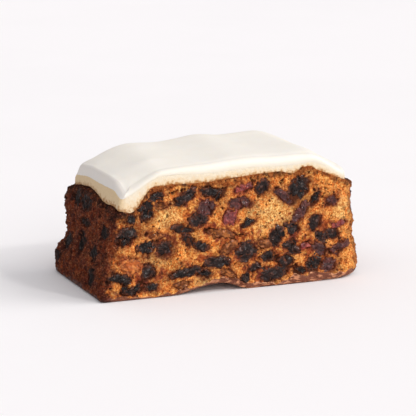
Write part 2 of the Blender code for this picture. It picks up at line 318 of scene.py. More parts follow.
class Flow:
    """What a socket gives, on which plain arithmetic adds the nodes that work it out."""

    def __init__(self, bench: "NodeBench", socket: bpy.types.NodeSocket) -> None:
        """Ties a socket to the bench of its tree."""
        self.bench = bench
        self.socket = socket

    def __add__(self, other: "Value") -> "Flow":
        """The sum."""
        return self.bench.work("ADD", self, other)

    def __sub__(self, other: "Value") -> "Flow":
        """What is left when another value is taken away."""
        return self.bench.work("SUBTRACT", self, other)

    def __rsub__(self, other: "Value") -> "Flow":
        """What is left when this is taken away from another value."""
        return self.bench.work("SUBTRACT", other, self)

    def __mul__(self, other: "Value") -> "Flow":
        """The product."""
        return self.bench.work("MULTIPLY", self, other)

    __radd__ = __add__
    __rmul__ = __mul__

    def spread(self, low: float, high: float, to_low: float = 0.0, to_high: float = 1.0) -> "Flow":
        """An S-shaped change from one range of values to another."""
        limits = {"Value": self, "From Min": low, "From Max": high, "To Min": to_low, "To Max": to_high}
        return self.bench.out("ShaderNodeMapRange", limits, interpolation_type="SMOOTHSTEP")


Value = Flow | float | tuple[float, ...]
Values = dict[str | int, Value]


def has_parts(value: Value) -> bool:
    """Whether a value is a vector or a colour."""
    return isinstance(value, tuple) or (isinstance(value, Flow) and value.socket.type in ("VECTOR", "RGBA"))


def metres(size: Value) -> Value:
    """A plain number of millimetres in metres, and a flow, which is in metres already, as it is."""
    return size if isinstance(size, Flow) else size * MM


class NodeBench:
    """Places and joins the nodes of one tree. A size is a number of millimetres or a flow of metres."""

    place: Flow

    def __init__(self, tree: bpy.types.NodeTree) -> None:
        """Starts on a tree."""
        self.tree = tree

    def feed(self, inputs: Iterable[bpy.types.NodeSocket], values: Values) -> None:
        """Joins flows to a node's inputs, or sets the inputs to plain values.

        Args:
            inputs: the inputs.
            values: what goes into them, by name or number.
        """
        for name, value in values.items():
            named = (socket for socket in inputs if socket.name == name and socket.enabled)
            used = inputs[name] if isinstance(name, int) else next(named)
            if isinstance(value, Flow):
                self.tree.links.new(value.socket, used)
            elif used.type == "RGBA":
                used.default_value = (*value, 1.0)
            else:
                used.default_value = value

    def outs(self, kind: str, values: Values | None = None, **settings: object) -> dict[str, Flow]:
        """Adds a node.

        Args:
            kind: the node's type name.
            values: what goes into its inputs, by name or number.
            **settings: properties to set on it.

        Returns:
            Its outputs in use, by name.
        """
        node = self.tree.nodes.new(kind)
        for name, value in settings.items():
            setattr(node, name, value)
        self.feed(node.inputs, values or {})
        return {socket.name: Flow(self, socket) for socket in node.outputs if socket.enabled}

    def out(self, kind: str, values: Values | None = None, **settings: object) -> Flow:
        """Adds a node and gives the first of its outputs in use."""
        return next(iter(self.outs(kind, values, **settings).values()))

    def math(self, operation: str, *values: Value) -> Flow:
        """One sum of numbers."""
        return self.out("ShaderNodeMath", dict(enumerate(values)), operation=operation)

    def vector(self, operation: str, *values: Value) -> Flow:
        """One sum of vectors."""
        return self.out("ShaderNodeVectorMath", dict(enumerate(values)), operation=operation)

    def work(self, operation: str, first: Value, second: Value) -> Flow:
        """Does one step of arithmetic.

        Args:
            operation: what to do.
            first: a number or a vector.
            second: another, of either sort.

        Returns:
            A vector where either is one. A vector times a number is the vector at another length.
        """
        if not has_parts(first) and not has_parts(second):
            return self.math(operation, first, second)
        if operation == "MULTIPLY" and has_parts(first) != has_parts(second):
            long, number = (first, second) if has_parts(first) else (second, first)
            return self.out("ShaderNodeVectorMath", {0: long, 3: number}, operation="SCALE")
        return self.vector(operation, first, second)

    def most(self, first: Flow, *others: Value) -> Flow:
        """Compares numbers.

        Args:
            first: one number.
            *others: the rest.

        Returns:
            The greatest.
        """
        for other in others:
            first = self.math("MAXIMUM", first, other)
        return first

    def split(self, vector: Flow) -> dict[str, Flow]:
        """A vector's X, Y and Z."""
        return self.outs("ShaderNodeSeparateXYZ", {"Vector": vector})

    def blend(self, share: Value, first: Value, second: Value, mode: str = "MIX") -> Flow:
        """A mix of two colours, with a share of the second."""
        values = {"Factor": share, "A": first, "B": second}
        return self.out("ShaderNodeMix", values, data_type="RGBA", blend_type=mode, clamp_factor=True)

    def coats(self, ground: Value, *coats: tuple[Value, Value]) -> Flow:
        """Lays coats over a ground.

        Args:
            ground: the colour below them.
            *coats: the share and the colour of each, from the lowest up.

        Returns:
            The colour.
        """
        for share, colour in coats:
            ground = self.blend(share, ground, colour)
        return ground

    def texture(
        self, kind: str, size: Value, at: Flow | None, values: dict[str, Value], **settings: object
    ) -> dict[str, Flow]:
        """Adds a texture with features about as wide as the size, read at a place or at the tree's own."""
        scale = self.math("DIVIDE", 1.0, metres(size))
        return self.outs(kind, {"Vector": at or self.place, "Scale": scale, **values}, **settings)

    def noise(self, size: Value, detail: float = 2.0, rough: float = 0.5, at: Flow | None = None) -> Flow:
        """Cloudy noise."""
        return self.texture("ShaderNodeTexNoise", size, at, {"Detail": detail, "Roughness": rough})["Fac"]

    def wander(self, size: Value, at: Flow | None = None) -> Flow:
        """A slowly changing vector, about a fifth long."""
        clouds = self.texture("ShaderNodeTexNoise", size, at, {"Detail": 1.0, "Roughness": 0.5})
        return clouds["Color"] - (0.5, 0.5, 0.5)

    def cells(self, size: Value, feature: str = "F1", at: Flow | None = None) -> dict[str, Flow]:
        """Rounded cells."""
        return self.texture("ShaderNodeTexVoronoi", size, at, {}, feature=feature)


def floats(*names: str) -> dict[str, str]:
    """Sockets for plain numbers."""
    return dict.fromkeys(names, "Float")


def new_tree(kind: str, name: str, inputs: dict[str, str], outputs: dict[str, str]) -> bpy.types.NodeTree:
    """Makes a tree with named sockets.

    Args:
        kind: the tree's type name.
        name: the tree's name.
        inputs: the kind of socket for each input.
        outputs: the kind of socket for each output.

    Returns:
        The tree.
    """
    tree = bpy.data.node_groups.new(name, kind)
    for way, sockets in (("INPUT", inputs), ("OUTPUT", outputs)):
        for socket, sort in sockets.items():
            tree.interface.new_socket(socket, in_out=way, socket_type=f"NodeSocket{sort}")
    return tree


# Node groups that several finishes share.


def grain_group() -> bpy.types.NodeTree:
    """Fine granules with small pits between them, for painted light: lighter tops, darker edges, dark pits
    and a random tone.

    Returns:
        A group that gives a shade round 1 for the colour (painted highlight and shade), a mask of the pits
        (painted shade) and a height for the bump.
    """
    inputs = {"Place": "Vector", **floats("Size", "Contrast")}
    bench = NodeBench(new_tree("ShaderNodeTree", "Fine grain", inputs, floats("Shade", "Pits", "Height")))
    given = bench.outs("NodeGroupInput")
    bench.place, size = given["Place"], given["Size"]
    bent = bench.place + bench.wander(size) * (size * 1.6)
    granules = bench.cells(size, at=bent)
    lot = bench.split(granules["Color"])["X"]
    fine = bench.noise(size * 0.55, 2.0, 0.6, bent) - 0.5
    body = (lot - 0.5) * 0.55 + fine + (0.42 - granules["Distance"])
    hollows = bench.cells(size * 1.7, at=bent)
    reach = bench.math("POWER", bench.split(hollows["Color"])["X"], 2.2) * 0.52 - 0.08
    pits = (hollows["Distance"] - reach).spread(-0.05, 0.06, 1.0, 0.0)
    # Painted light: granule middles lighter and their edges darker, over a random tone per granule.
    shade = body * given["Contrast"] + 1.0
    bench.outs("NodeGroupOutput", {"Shade": shade, "Pits": pits, "Height": body - pits * 0.8})
    return bench.tree


def mottle_group() -> bpy.types.NodeTree:
    """Soft patches of one colour on another, as fruit juice and sugar leave them.

    Returns:
        A group that gives the colour and a mask of the patches.
    """
    inputs = {"Place": "Vector", **floats("Size", "Share"), "Ground": "Color", "Patch": "Color"}
    bench = NodeBench(new_tree("ShaderNodeTree", "Mottle", inputs, {"Colour": "Color", "Mask": "Float"}))
    given = bench.outs("NodeGroupInput")
    bench.place = given["Place"]
    clouds = bench.noise(given["Size"], 4.0, 0.62)
    mask = (clouds - ((1.0 - given["Share"]) * 0.5 + 0.25)).spread(-0.07, 0.07)
    colour = bench.blend(mask, given["Ground"], given["Patch"])
    bench.outs("NodeGroupOutput", {"Colour": colour, "Mask": mask})
    return bench.tree


GRAIN = grain_group()
MOTTLE = mottle_group()


class PaintBench(NodeBench):
    """A bench for a material, with the textures in object coordinates."""

    def __init__(self, tree: bpy.types.NodeTree) -> None:
        """Starts on a material's tree."""
        super().__init__(tree)
        self.place = self.outs("ShaderNodeTexCoord")["Object"]

    def mark(self, name: str) -> Flow:
        """A number stored on the mesh."""
        return self.outs("ShaderNodeAttribute", attribute_name=name)["Fac"]

    def grain(self, size: float, contrast: float) -> dict[str, Flow]:
        """The fine grain group's outputs."""
        values = {"Place": self.place, "Size": metres(size), "Contrast": contrast}
        return self.outs("ShaderNodeGroup", values, node_tree=GRAIN)

    def mottle(self, size: float, share: float, *colours: Colour) -> dict[str, Flow]:
        """Adds the mottle group.

        Args:
            size: how wide its patches are.
            share: how much they cover.
            *colours: those of the ground and the patches, where the colour is wanted.

        Returns:
            The group's outputs.
        """
        values = {"Place": self.place, "Size": metres(size), "Share": share}
        values |= dict(zip(("Ground", "Patch"), colours))
        return self.outs("ShaderNodeGroup", values, node_tree=MOTTLE)

    def bump(self, height: Flow, depth: float, strength: float = 1.0) -> Flow:
        """A bump whose height of 1 is depth millimetres."""
        return self.out("ShaderNodeBump", {"Height": height, "Distance": metres(depth), "Strength": strength})


class Finish:
    """What every finish shares: one Principled shader, fed by name."""

    name: str

    def material(self) -> bpy.types.Material:
        """Makes the finish.

        Returns:
            A new material.
        """
        made = bpy.data.materials.new(self.name)
        made.use_nodes = True
        bench = PaintBench(made.node_tree)
        bench.feed(made.node_tree.nodes["Principled BSDF"].inputs, self.dress(bench))
        return made

    def dress(self, bench: PaintBench) -> dict[str, Value]:
        """Builds the finish's nodes and gives what goes into the shader's inputs."""
        raise NotImplementedError


@dataclass(frozen=True)
class CrumbFinish(Finish):
    """Moist cake crumb: amber granules on a brown ground, stained by fruit, painted shade and browning at the
    ends.
    """

    name: str = "moist_crumb"
    ground: Colour = (1.00, 0.330, 0.062)
    amber: Colour = (1.00, 0.425, 0.095)
    # Painted highlight colour of the lightest granules.
    pale: Colour = (1.00, 0.540, 0.155)
    straw: Colour = (1.00, 0.730, 0.280)
    umber: Colour = (0.35, 0.092, 0.023)
    syrup: Colour = (0.44, 0.092, 0.024)
    wine: Colour = (0.210, 0.036, 0.024)
    juice: Colour = (0.095, 0.024, 0.014)
    rosy: Colour = (0.42, 0.085, 0.042)
    # Painted shade in pits, pores, pockets and fruit sockets; the darker loose grains take it too.
    hollow: Colour = (0.085, 0.022, 0.007)
    # Painted shade between the granules.
    gap: Colour = (0.56, 0.34, 0.19)
    # Colour the ends darken to: painted shade on the left end, an assumed browning at the right and the back.
    dusk: Colour = (0.330, 0.215, 0.235)
    lid: Colour = (0.320, 0.095, 0.022)
    lid_dark: Colour = (0.060, 0.023, 0.010)
    crust: Colour = (0.170, 0.050, 0.026)
    # Painted highlights on the crust: a streaky sheen and a lighter upper edge.
    crust_sheen: Colour = (0.720, 0.300, 0.150)
    crust_edge_highlight: Colour = (0.880, 0.450, 0.250)
    # Painted highlight on specks at the darkened ends.
    speck_highlight: Colour = (0.330, 0.130, 0.062)
    roughness: float = 0.70
    grain_size: float = 0.85
    grain_contrast: float = 1.7
    bump_depth: float = 0.28
    ground_size: float = 5.0
    brown_size: float = 3.4
    vein_size: float = 1.9
    wine_size: float = 4.5
    burnt_size: float = 5.0
    end_patch_size: float = 2.6
    moist_size: float = 2.4
    streak_size: float = 1.3
    streak_stretch: tuple[float, float, float] = (0.28, 0.6, 1.0)
    sheen_from: float = -30.0
    sheen_to: float = 5.0

    def stained(self, bench: PaintBench, shade: Flow) -> Flow:
        """Paints the torn crumb with what has soaked into it.

        Args:
            bench: the material's bench.
            shade: the grain's shade.

        Returns:
            The colour.
        """
        pale, syrup = bench.mark("pale"), bench.mark("syrup")
        # Painted highlight: the lightest granules lean towards the pale colour.
        bright = shade.spread(0.97, 1.40, 0.0, 0.9)
        brown = bench.mottle(self.brown_size, 0.40)["Mask"] * (pale * -0.38 + 0.40)
        vein = bench.mottle(self.vein_size, 0.36)["Mask"] * (pale * -0.26 + 0.30)
        wine = bench.mottle(self.wine_size, 0.42)["Mask"] * syrup
        ground = bench.mottle(self.ground_size, 0.55, self.ground, self.amber)["Colour"]
        crumb = ((bright, self.pale), (pale * (bright * 0.35 + 0.65), self.straw), (brown, self.umber))
        stains = ((vein, self.umber), (syrup, self.syrup), (wine, self.wine))
        fruity = ((bench.mark("rosy") * 0.70, self.rosy), (bench.mark("stain"), self.juice))
        return bench.coats(ground, *crumb, *stains, *fruity)

    def pitted(self, bench: PaintBench, colour: Flow, grain: dict[str, Flow]) -> Flow:
        """Lays on the brown lid under the marzipan, then paints shade into the gaps and the pits.

        Args:
            bench: the material's bench.
            colour: the colour so far.
            grain: the grain group's outputs.

        Returns:
            The colour.
        """
        burnt = bench.noise(self.burnt_size, 3.0, 0.6).spread(0.46, 0.64)
        # At the ends the lid darkens with the painted end shade.
        burnt = bench.most(burnt, bench.mark("dusk") * 0.35)
        colour = bench.blend(bench.mark("lid"), colour, bench.blend(burnt, self.lid, self.lid_dark))
        # Painted shade in the gaps between the granules.
        between = grain["Shade"].spread(0.92, 0.50, 0.0, 0.85)
        colour = bench.blend(between, colour, bench.blend(1.0, colour, self.gap, "MULTIPLY"))
        # Painted shade in the pits and the hollows.
        return bench.blend(bench.most(grain["Pits"] * 0.90, bench.mark("hollow")), colour, self.hollow)

    def at_ends(self, bench: PaintBench, colour: Flow, shade: Flow) -> Flow:
        """Darkens the ends with painted shade and an assumed browning, but for specks with a painted
        highlight.

        Args:
            bench: the material's bench.
            colour: the colour so far.
            shade: the grain's shade.

        Returns:
            The colour.
        """
        dusk = bench.mark("dusk")
        # Painted shade on the left end, an assumed browning at the right and the back.
        dim = bench.blend(dusk, (1.0, 1.0, 1.0), self.dusk)
        colour = bench.blend(1.0, colour, dim, "MULTIPLY")
        # Darker patches at the ends, along with the painted shade there.
        baked = bench.noise(self.end_patch_size, 3.0, 0.7).spread(0.44, 0.60, 0.0, 0.75) * dusk
        # Painted highlight: the lightest granules at the ends.
        lit = shade.spread(1.10, 1.60, 0.0, 0.60) * dusk
        return bench.coats(colour, (baked, colour * 0.35), (lit * (1.0 - baked), self.speck_highlight))

    def dress(self, bench: PaintBench) -> dict[str, Value]:
        """Layers the colours from the ground up, with the crust over all but the ends' painted shade and
        browning.

        Args:
            bench: the material's bench.

        Returns:
            What goes into the shader's inputs.
        """
        grain = bench.grain(self.grain_size, self.grain_contrast)
        colour = self.pitted(bench, self.stained(bench, grain["Shade"]), grain)
        reach = bench.mark("crust")
        streak = bench.noise(self.streak_size, 3.0, 0.6, bench.place * self.streak_stretch).spread(0.47, 0.60)
        limits = metres(self.sheen_from), metres(self.sheen_to)
        # Painted highlight: a sheen on the crust's streaks, more towards the right, and a lighter upper edge.
        sheen = streak * bench.split(bench.place)["X"].spread(*limits, 0.25, 0.75)
        rim = reach.spread(0.88, 0.66) * (sheen * 0.9 + 0.1)
        crust = bench.coats(self.crust, (sheen, self.crust_sheen), (rim, self.crust_edge_highlight))
        colour = bench.blend(reach.spread(0.30, 0.52), colour, crust)
        moist = bench.noise(self.moist_size, 2.0).spread(0.35, 0.75, self.roughness + 0.14, self.roughness)
        return {
            "Base Color": self.at_ends(bench, colour, grain["Shade"]),
            "Roughness": moist - reach * 0.42,
            "Normal": bench.bump(grain["Height"] + streak * (reach * 1.2), self.bump_depth),
            "Specular IOR Level": 0.18,
        }


@dataclass(frozen=True)
class FruitFinish(Finish):
    """Dried fruit: a dark wrinkled skin with thinner patches, soaked crumb at its rim, wet spots, painted
    shade in its creases and on fruit that faces left.
    """

    name: str
    skin: Colour
    thin: Colour
    # Colour of the painted shade in the creases.
    crease: Colour
    share: float = 0.35
    roughness: float = 0.13
    gloss: float = 0.20
    soaked: Colour = (0.185, 0.050, 0.020)
    wetness: float = 0.65
    bump_depth: float = 0.55
    bump_size: float = 0.95
    patch_size: float = 3.0
    soaked_size: float = 0.9
    dull_size: float = 1.2
    wet_size: float = 1.5

    def dress(self, bench: PaintBench) -> dict[str, Value]:
        """Skin with thin patches and creases in painted shade, under a gloss that dry spots and the left end
        dull, with painted shade on fruit facing left.

        Args:
            bench: the material's bench.

        Returns:
            What goes into the shader's inputs.
        """
        dusk = bench.mark("dusk")
        skin = bench.mottle(self.patch_size, self.share, self.skin, self.thin)["Colour"]
        soaked = bench.mark("rim") * bench.noise(self.soaked_size, 3.0, 0.6).spread(0.40, 0.60, 0.10, 0.85)
        # Painted shade in the wrinkle creases.
        colour = bench.coats(skin, (bench.mark("crease"), self.crease), (soaked, self.soaked))
        limits = self.roughness - 0.08, self.roughness + 0.30
        dull = bench.noise(self.dull_size, 3.0, 0.6).spread(0.38, 0.66, *limits)
        return {
            # Painted shade: fruit that faces left is darkened.
            "Base Color": colour * (dusk * -0.45 + 1.0),
            "Roughness": dusk * 0.25 + dull,
            "Normal": bench.bump(bench.noise(self.bump_size, 2.0, 0.55), self.bump_depth),
            "Coat Weight": bench.noise(self.wet_size).spread(0.56, 0.63, 0.0, self.wetness) * (1.0 - dusk),
            "Coat Roughness": 0.06,
            "Specular IOR Level": self.gloss,
        }


FRUIT_FINISHES = {
    RAISIN: FruitFinish("wet_raisin", (0.011, 0.006, 0.005), (0.046, 0.016, 0.009), (0.004, 0.002, 0.002)),
    CUT: FruitFinish(
        "raisin_flesh", (0.020, 0.011, 0.010), (0.078, 0.026, 0.016), (0.008, 0.005, 0.004), 0.36, 0.34, 0.16
    ),
    CURRANT: FruitFinish("currant", (0.012, 0.008, 0.007), (0.044, 0.018, 0.012), (0.004, 0.003, 0.003)),
    SULTANA: FruitFinish(
        "sultana", (0.170, 0.050, 0.016), (0.400, 0.130, 0.032), (0.055, 0.017, 0.007), 0.5, 0.40, 0.15
    ),
    PRUNE: FruitFinish(
        "prune", (0.062, 0.017, 0.016), (0.135, 0.030, 0.024), (0.018, 0.007, 0.007), 0.45, 0.32, 0.30
    ),
    CHERRY: FruitFinish(
        "cherry", (0.190, 0.026, 0.026), (0.380, 0.064, 0.044), (0.055, 0.010, 0.010), 0.45, 0.28, 0.34
    ),
    PEEL: FruitFinish(
        "peel", (0.470, 0.115, 0.026), (0.740, 0.250, 0.060), (0.140, 0.030, 0.012), 0.5, 0.42, 0.15
    ),
}


@dataclass(frozen=True)
class MarzipanFinish(Finish):
    """Almond paste, creamy under the icing, stained brown by the cake below, with painted shade on its left
    end.
    """

    name: str = "almond_paste"
    cream: Colour = (0.76, 0.670, 0.525)
    almond: Colour = (0.76, 0.575, 0.350)
    stained: Colour = (0.43, 0.195, 0.062)
    roughness: float = 0.66
    grain_size: float = 0.60
    grain_contrast: float = 0.09
    stain_size: float = 1.9
    bump_depth: float = 0.10

    def dress(self, bench: PaintBench) -> dict[str, Value]:
        """Cream at the top, almond below it, and a ragged brown stain that climbs from the lower edge.

        Args:
            bench: the material's bench.

        Returns:
            What goes into the shader's inputs.
        """
        grain, dusk = bench.grain(self.grain_size, self.grain_contrast), bench.mark("dusk")
        climb = bench.mark("height") + (bench.noise(self.stain_size, 3.0, 0.6) * 1.5 - 0.75)
        # The left end stays almond rather than cream, part of its painted shade.
        paste = bench.blend(climb.spread(0.10, 0.95) * (1.0 - dusk), self.almond, self.cream)
        stained = bench.blend(climb.spread(-0.08, 0.40, 1.0, 0.0), paste, self.stained)
        return {
            # Painted shade: the left end dimmed.
            "Base Color": stained * (grain["Shade"] * (dusk * -0.13 + 1.0)),
            "Roughness": self.roughness,
            "Normal": bench.bump(grain["Height"], self.bump_depth, 0.7),
            "Specular IOR Level": 0.25,
        }


@dataclass(frozen=True)
class IcingFinish(Finish):
    """Rolled sugar paste: nearly white, satin, faintly bloomed, creamier where it meets the marzipan, with
    painted shade on its cut rim and left end.
    """

    name: str = "rolled_icing"
    white: Colour = (0.878, 0.838, 0.765)
    bloom: Colour = (0.860, 0.815, 0.735)
    cream: Colour = (0.83, 0.750, 0.620)
    left_end_shade: Colour = (0.730, 0.685, 0.635)
    rim_shade: float = 0.085
    roughness: float = 0.48
    cloud_size: float = 16.0
    cream_size: float = 4.0
    bump_size: float = 0.9
    bump_depth: float = 0.05
    glow_depth: float = 2.2

    def dress(self, bench: PaintBench) -> dict[str, Value]:
        """Warm white in soft clouds, with a satin gloss that the bloom dulls.

        Args:
            bench: the material's bench.

        Returns:
            What goes into the shader's inputs.
        """
        dusk, cut = bench.mark("dusk"), bench.mark("cut")
        clouds = bench.noise(self.cloud_size, 3.0, 0.5).spread(0.3, 0.7)
        climb = bench.mark("height") + (bench.noise(self.cream_size) * 0.30 - 0.15)
        low = climb.spread(-0.05, 0.70, 1.0, 0.0)
        paste = bench.coats(self.white, (clouds, self.bloom), (low * cut * (1.0 - dusk), self.cream))
        return {
            # Painted shade: the cut rim dimmed, and the left end greyed.
            "Base Color": bench.blend(dusk, paste * (cut * -self.rim_shade + 1.0), self.left_end_shade),
            "Roughness": clouds * 0.10 + self.roughness,
            "Normal": bench.bump(bench.noise(self.bump_size, 3.0, 0.6), self.bump_depth, 0.6),
            "Subsurface Weight": 0.18,
            "Subsurface Radius": (1.0, 0.8, 0.55),
            "Subsurface Scale": metres(self.glow_depth),
            "Specular IOR Level": 0.35,
        }


@dataclass(frozen=True)
class FloorFinish(Finish):
    """A plain pale studio floor."""

    name: str = "studio_floor"
    colour: Colour = (0.930, 0.915, 0.925)
    roughness: float = 0.7
    patch_size: float = 400.0

    def dress(self, bench: PaintBench) -> dict[str, Value]:
        """One even colour with the faintest variation.

        Args:
            bench: the material's bench.

        Returns:
            What goes into the shader's inputs.
        """
        patch = tuple(0.99 * part for part in self.colour)
        colour = bench.mottle(self.patch_size, 0.5, self.colour, patch)["Colour"]
        return {"Base Color": colour, "Roughness": self.roughness, "Specular IOR Level": 0.1}


@dataclass(frozen=True)
class Oval:
    """An oval on a side: its place across and up, its length and width, and its turn in degrees."""

    across: float
    up: float
    length: float
    width: float
    turn: float = 0.0

    def share(self, across: np.ndarray, up: np.ndarray) -> np.ndarray:
        """Finds how far out points lie.

        Args:
            across: the points' places across.
            up: their places up.

        Returns:
            0 at the oval's middle and 1 on its outline.
        """
        cosine, sine = math.cos(math.radians(self.turn)), math.sin(math.radians(self.turn))
        along = (across - self.across) * cosine + (up - self.up) * sine
        over = (up - self.up) * cosine - (across - self.across) * sine
        return 2.0 * np.hypot(along / self.length, over / self.width)


@dataclass(frozen=True)
class Fruit(Oval):
    """One fruit on a side."""

    kind: Kind = RAISIN


def fruit_row(*rows: tuple[Kind, float, float, float, float, float]) -> list[Fruit]:
    """The fruit of one side: the kind of each, its place across and up, its length, width and turn."""
    return [Fruit(*oval, kind) for kind, *oval in rows]


def rounds(*rows: tuple[float, float, float]) -> list[Oval]:
    """Round patches: the place across and up of each, and its radius."""
    return [Oval(across, up, 2.0 * radius, 2.0 * radius) for across, up, radius in rows]


FRONT_FRUIT = fruit_row(
    (CURRANT, -51, 38, 5.1, 3.4, 90), (RAISIN, -43.5, 41, 10.8, 6.4, 77),
    (SULTANA, -36, 43, 6.4, 2.8, -9), (RAISIN, -39, 47.5, 6.7, 3.8, 10), (CUT, -24, 46, 11.2, 5.0, 36),
    (RAISIN, -53.5, 30, 10.0, 7.2, 10), (RAISIN, -43.5, 24, 10.1, 5.7, 5), (CUT, -35, 22.5, 7.8, 7.1, 57),
    (SULTANA, -39, 29, 6.4, 3.3, -5), (CUT, -26, 31, 10.5, 4.2, -10), (CUT, -22.5, 25.5, 8.1, 5.1, -51),
    (PRUNE, -14, 40, 9.2, 7.6, 57), (CUT, -18, 34.5, 8.3, 5.8, 10), (CUT, -17, 22, 7.1, 5.1, -24),
    (PEEL, -51.5, 16, 10.0, 6.4, -24), (RAISIN, -57, 10.5, 12.0, 5.1, -20), (CUT, -43, 12, 7.3, 7.0, 57),
    (CURRANT, -42, 5.5, 5.9, 3.3, -6), (RAISIN, -51, 4.2, 11.0, 3.9, 6),
    (RAISIN, -24.5, 10.5, 16.0, 4.4, 9), (SULTANA, -27, 5, 7.8, 3.4, 4),
    (RAISIN, -10.5, 47, 12.5, 4.7, -5), (CHERRY, 4.5, 48, 9.2, 4.5, 20), (PRUNE, 2.5, 41, 10.9, 5.3, 5),
    (CHERRY, -2, 34.5, 8.8, 6.7, 57), (CURRANT, 7.5, 31.5, 7.7, 3.0, 25), (CUT, 14, 47.5, 7.0, 6.7, 57),
    (PRUNE, 25, 42, 10.4, 4.2, -41), (RAISIN, 32.5, 48.5, 13.6, 10.0, 52),
    (PRUNE, 33.5, 34.5, 10.3, 4.2, 52), (RAISIN, 40.5, 40, 8.0, 3.7, 52), (PRUNE, 50, 38.5, 5.4, 4.1, 25),
    (RAISIN, 21, 23.5, 10.4, 7.8, 74), (CUT, 28.5, 17.5, 9.5, 5.7, -37), (CUT, 29, 27.5, 7.4, 4.7, -23),
    (CUT, 40.5, 28.5, 8.5, 6.2, 63), (CUT, 44, 21.5, 8.0, 4.8, -41), (CUT, 50.5, 22, 8.0, 3.6, -32),
    (CHERRY, 53, 27, 6.6, 3.2, 9), (PRUNE, 43, 15.5, 9.4, 5.2, -41), (CHERRY, 35.5, 17, 6.8, 2.6, 24),
    (PRUNE, 53, 15.5, 10.5, 4.1, 19), (RAISIN, 40, 8.5, 8.0, 6.6, 46), (PRUNE, 47.5, 7, 7.2, 6.0, 35),
    (SULTANA, 14.5, 20.5, 7.0, 3.7, -5), (RAISIN, 17, 14.5, 8.0, 5.6, 14), (CUT, 26, 11, 8.6, 7.0, 46),
    (CUT, 19, 5.6, 13.0, 6.4, 9), (CUT, 5.5, 17.5, 11.0, 8.4, 25), (SULTANA, -3, 20, 8.2, 5.4, 46),
    (CUT, 10, 9.5, 7.6, 4.6, 30), (RAISIN, 5, 5.2, 6.4, 4.6, 57), (CUT, -9, 14, 12.5, 4.8, -1),
    (RAISIN, -15, 9.5, 6.1, 3.3, -15), (SULTANA, -3.5, 8, 8.4, 4.0, -37),
    (CURRANT, 33.5, 6, 5.2, 3.7, -5), (SULTANA, -7, 27.5, 12.2, 3.8, -10),
)
LEFT_FRUIT = fruit_row(
    (CUT, -13, 39.5, 11.5, 7.5, 10), (CUT, -1, 39.5, 12.0, 8.0, -8), (CUT, -1.5, 30.5, 9.0, 4.0, 8),
    (CUT, -3, 20.5, 9.8, 9.0, 60), (CUT, -21, 16, 9.2, 7.8, 70), (CUT, 24, 30.5, 9.0, 6.8, 20),
    (CUT, 15, 18.5, 9.8, 8.0, 45), (CUT, 17.5, 8, 9.0, 6.0, 80), (CUT, -27, 8.5, 6.4, 5.2, 30),
)
POCKETS = [
    Oval(*row)
    for row in (
        (-30.5, 48.3, 4.4, 1.9, 25), (-25.8, 49.3, 3.0, 1.3, 12), (-44.0, 30.2, 2.6, 0.9, 20),
        (-33.3, 37.6, 2.2, 1.5, -60), (-13.7, 42.6, 2.8, 1.2, 70), (-27.4, 41.3, 3.0, 1.1, 55),
        (-47.8, 43.6, 3.2, 1.1, 80), (8.9, 51.4, 3.6, 1.4, -30), (24.5, 49.5, 4.0, 1.6, 60),
        (1.9, 25.8, 5.0, 1.5, -8), (29.8, 8.6, 3.0, 1.3, 30), (45.3, 41.6, 3.2, 1.2, 65),
        (12.3, 43.2, 2.6, 1.0, 10), (-6.2, 39.5, 2.6, 1.2, -40), (0.3, 12.4, 2.8, 1.1, 20),
        (-49.0, 20.6, 2.4, 0.9, 35),
    )
]
PALE_PATCHES = rounds(
    (20.0, 33.0, 15.0), (8.0, 36.0, 8.0), (-33.0, 38.0, 9.0), (-38.0, 18.0, 7.0), (-16.0, 5.5, 6.0),
    (55.0, 33.0, 8.0),
)
BROWN_PATCHES = rounds(
    (-3.0, 27.0, 9.0), (-11.0, 31.0, 6.0), (6.0, 21.0, 9.0), (-14.0, 16.0, 6.0), (22.0, 19.0, 9.0),
    (29.0, 25.0, 7.0), (-33.0, 26.0, 6.0), (-20.0, 39.0, 6.0), (38.0, 12.0, 8.0), (12.0, 7.0, 9.0),
    (-47.0, 8.0, 7.0), (-25.0, 47.0, 6.0), (-38.0, 10.0, 6.0), (44.0, 26.0, 6.0),
)


@dataclass(frozen=True)
class SetFruit:
    """A fruit in its place on the bar."""

    fruit: Fruit
    centre: Vector
    along: Vector
    across: Vector
    outward: Vector
    lot: float


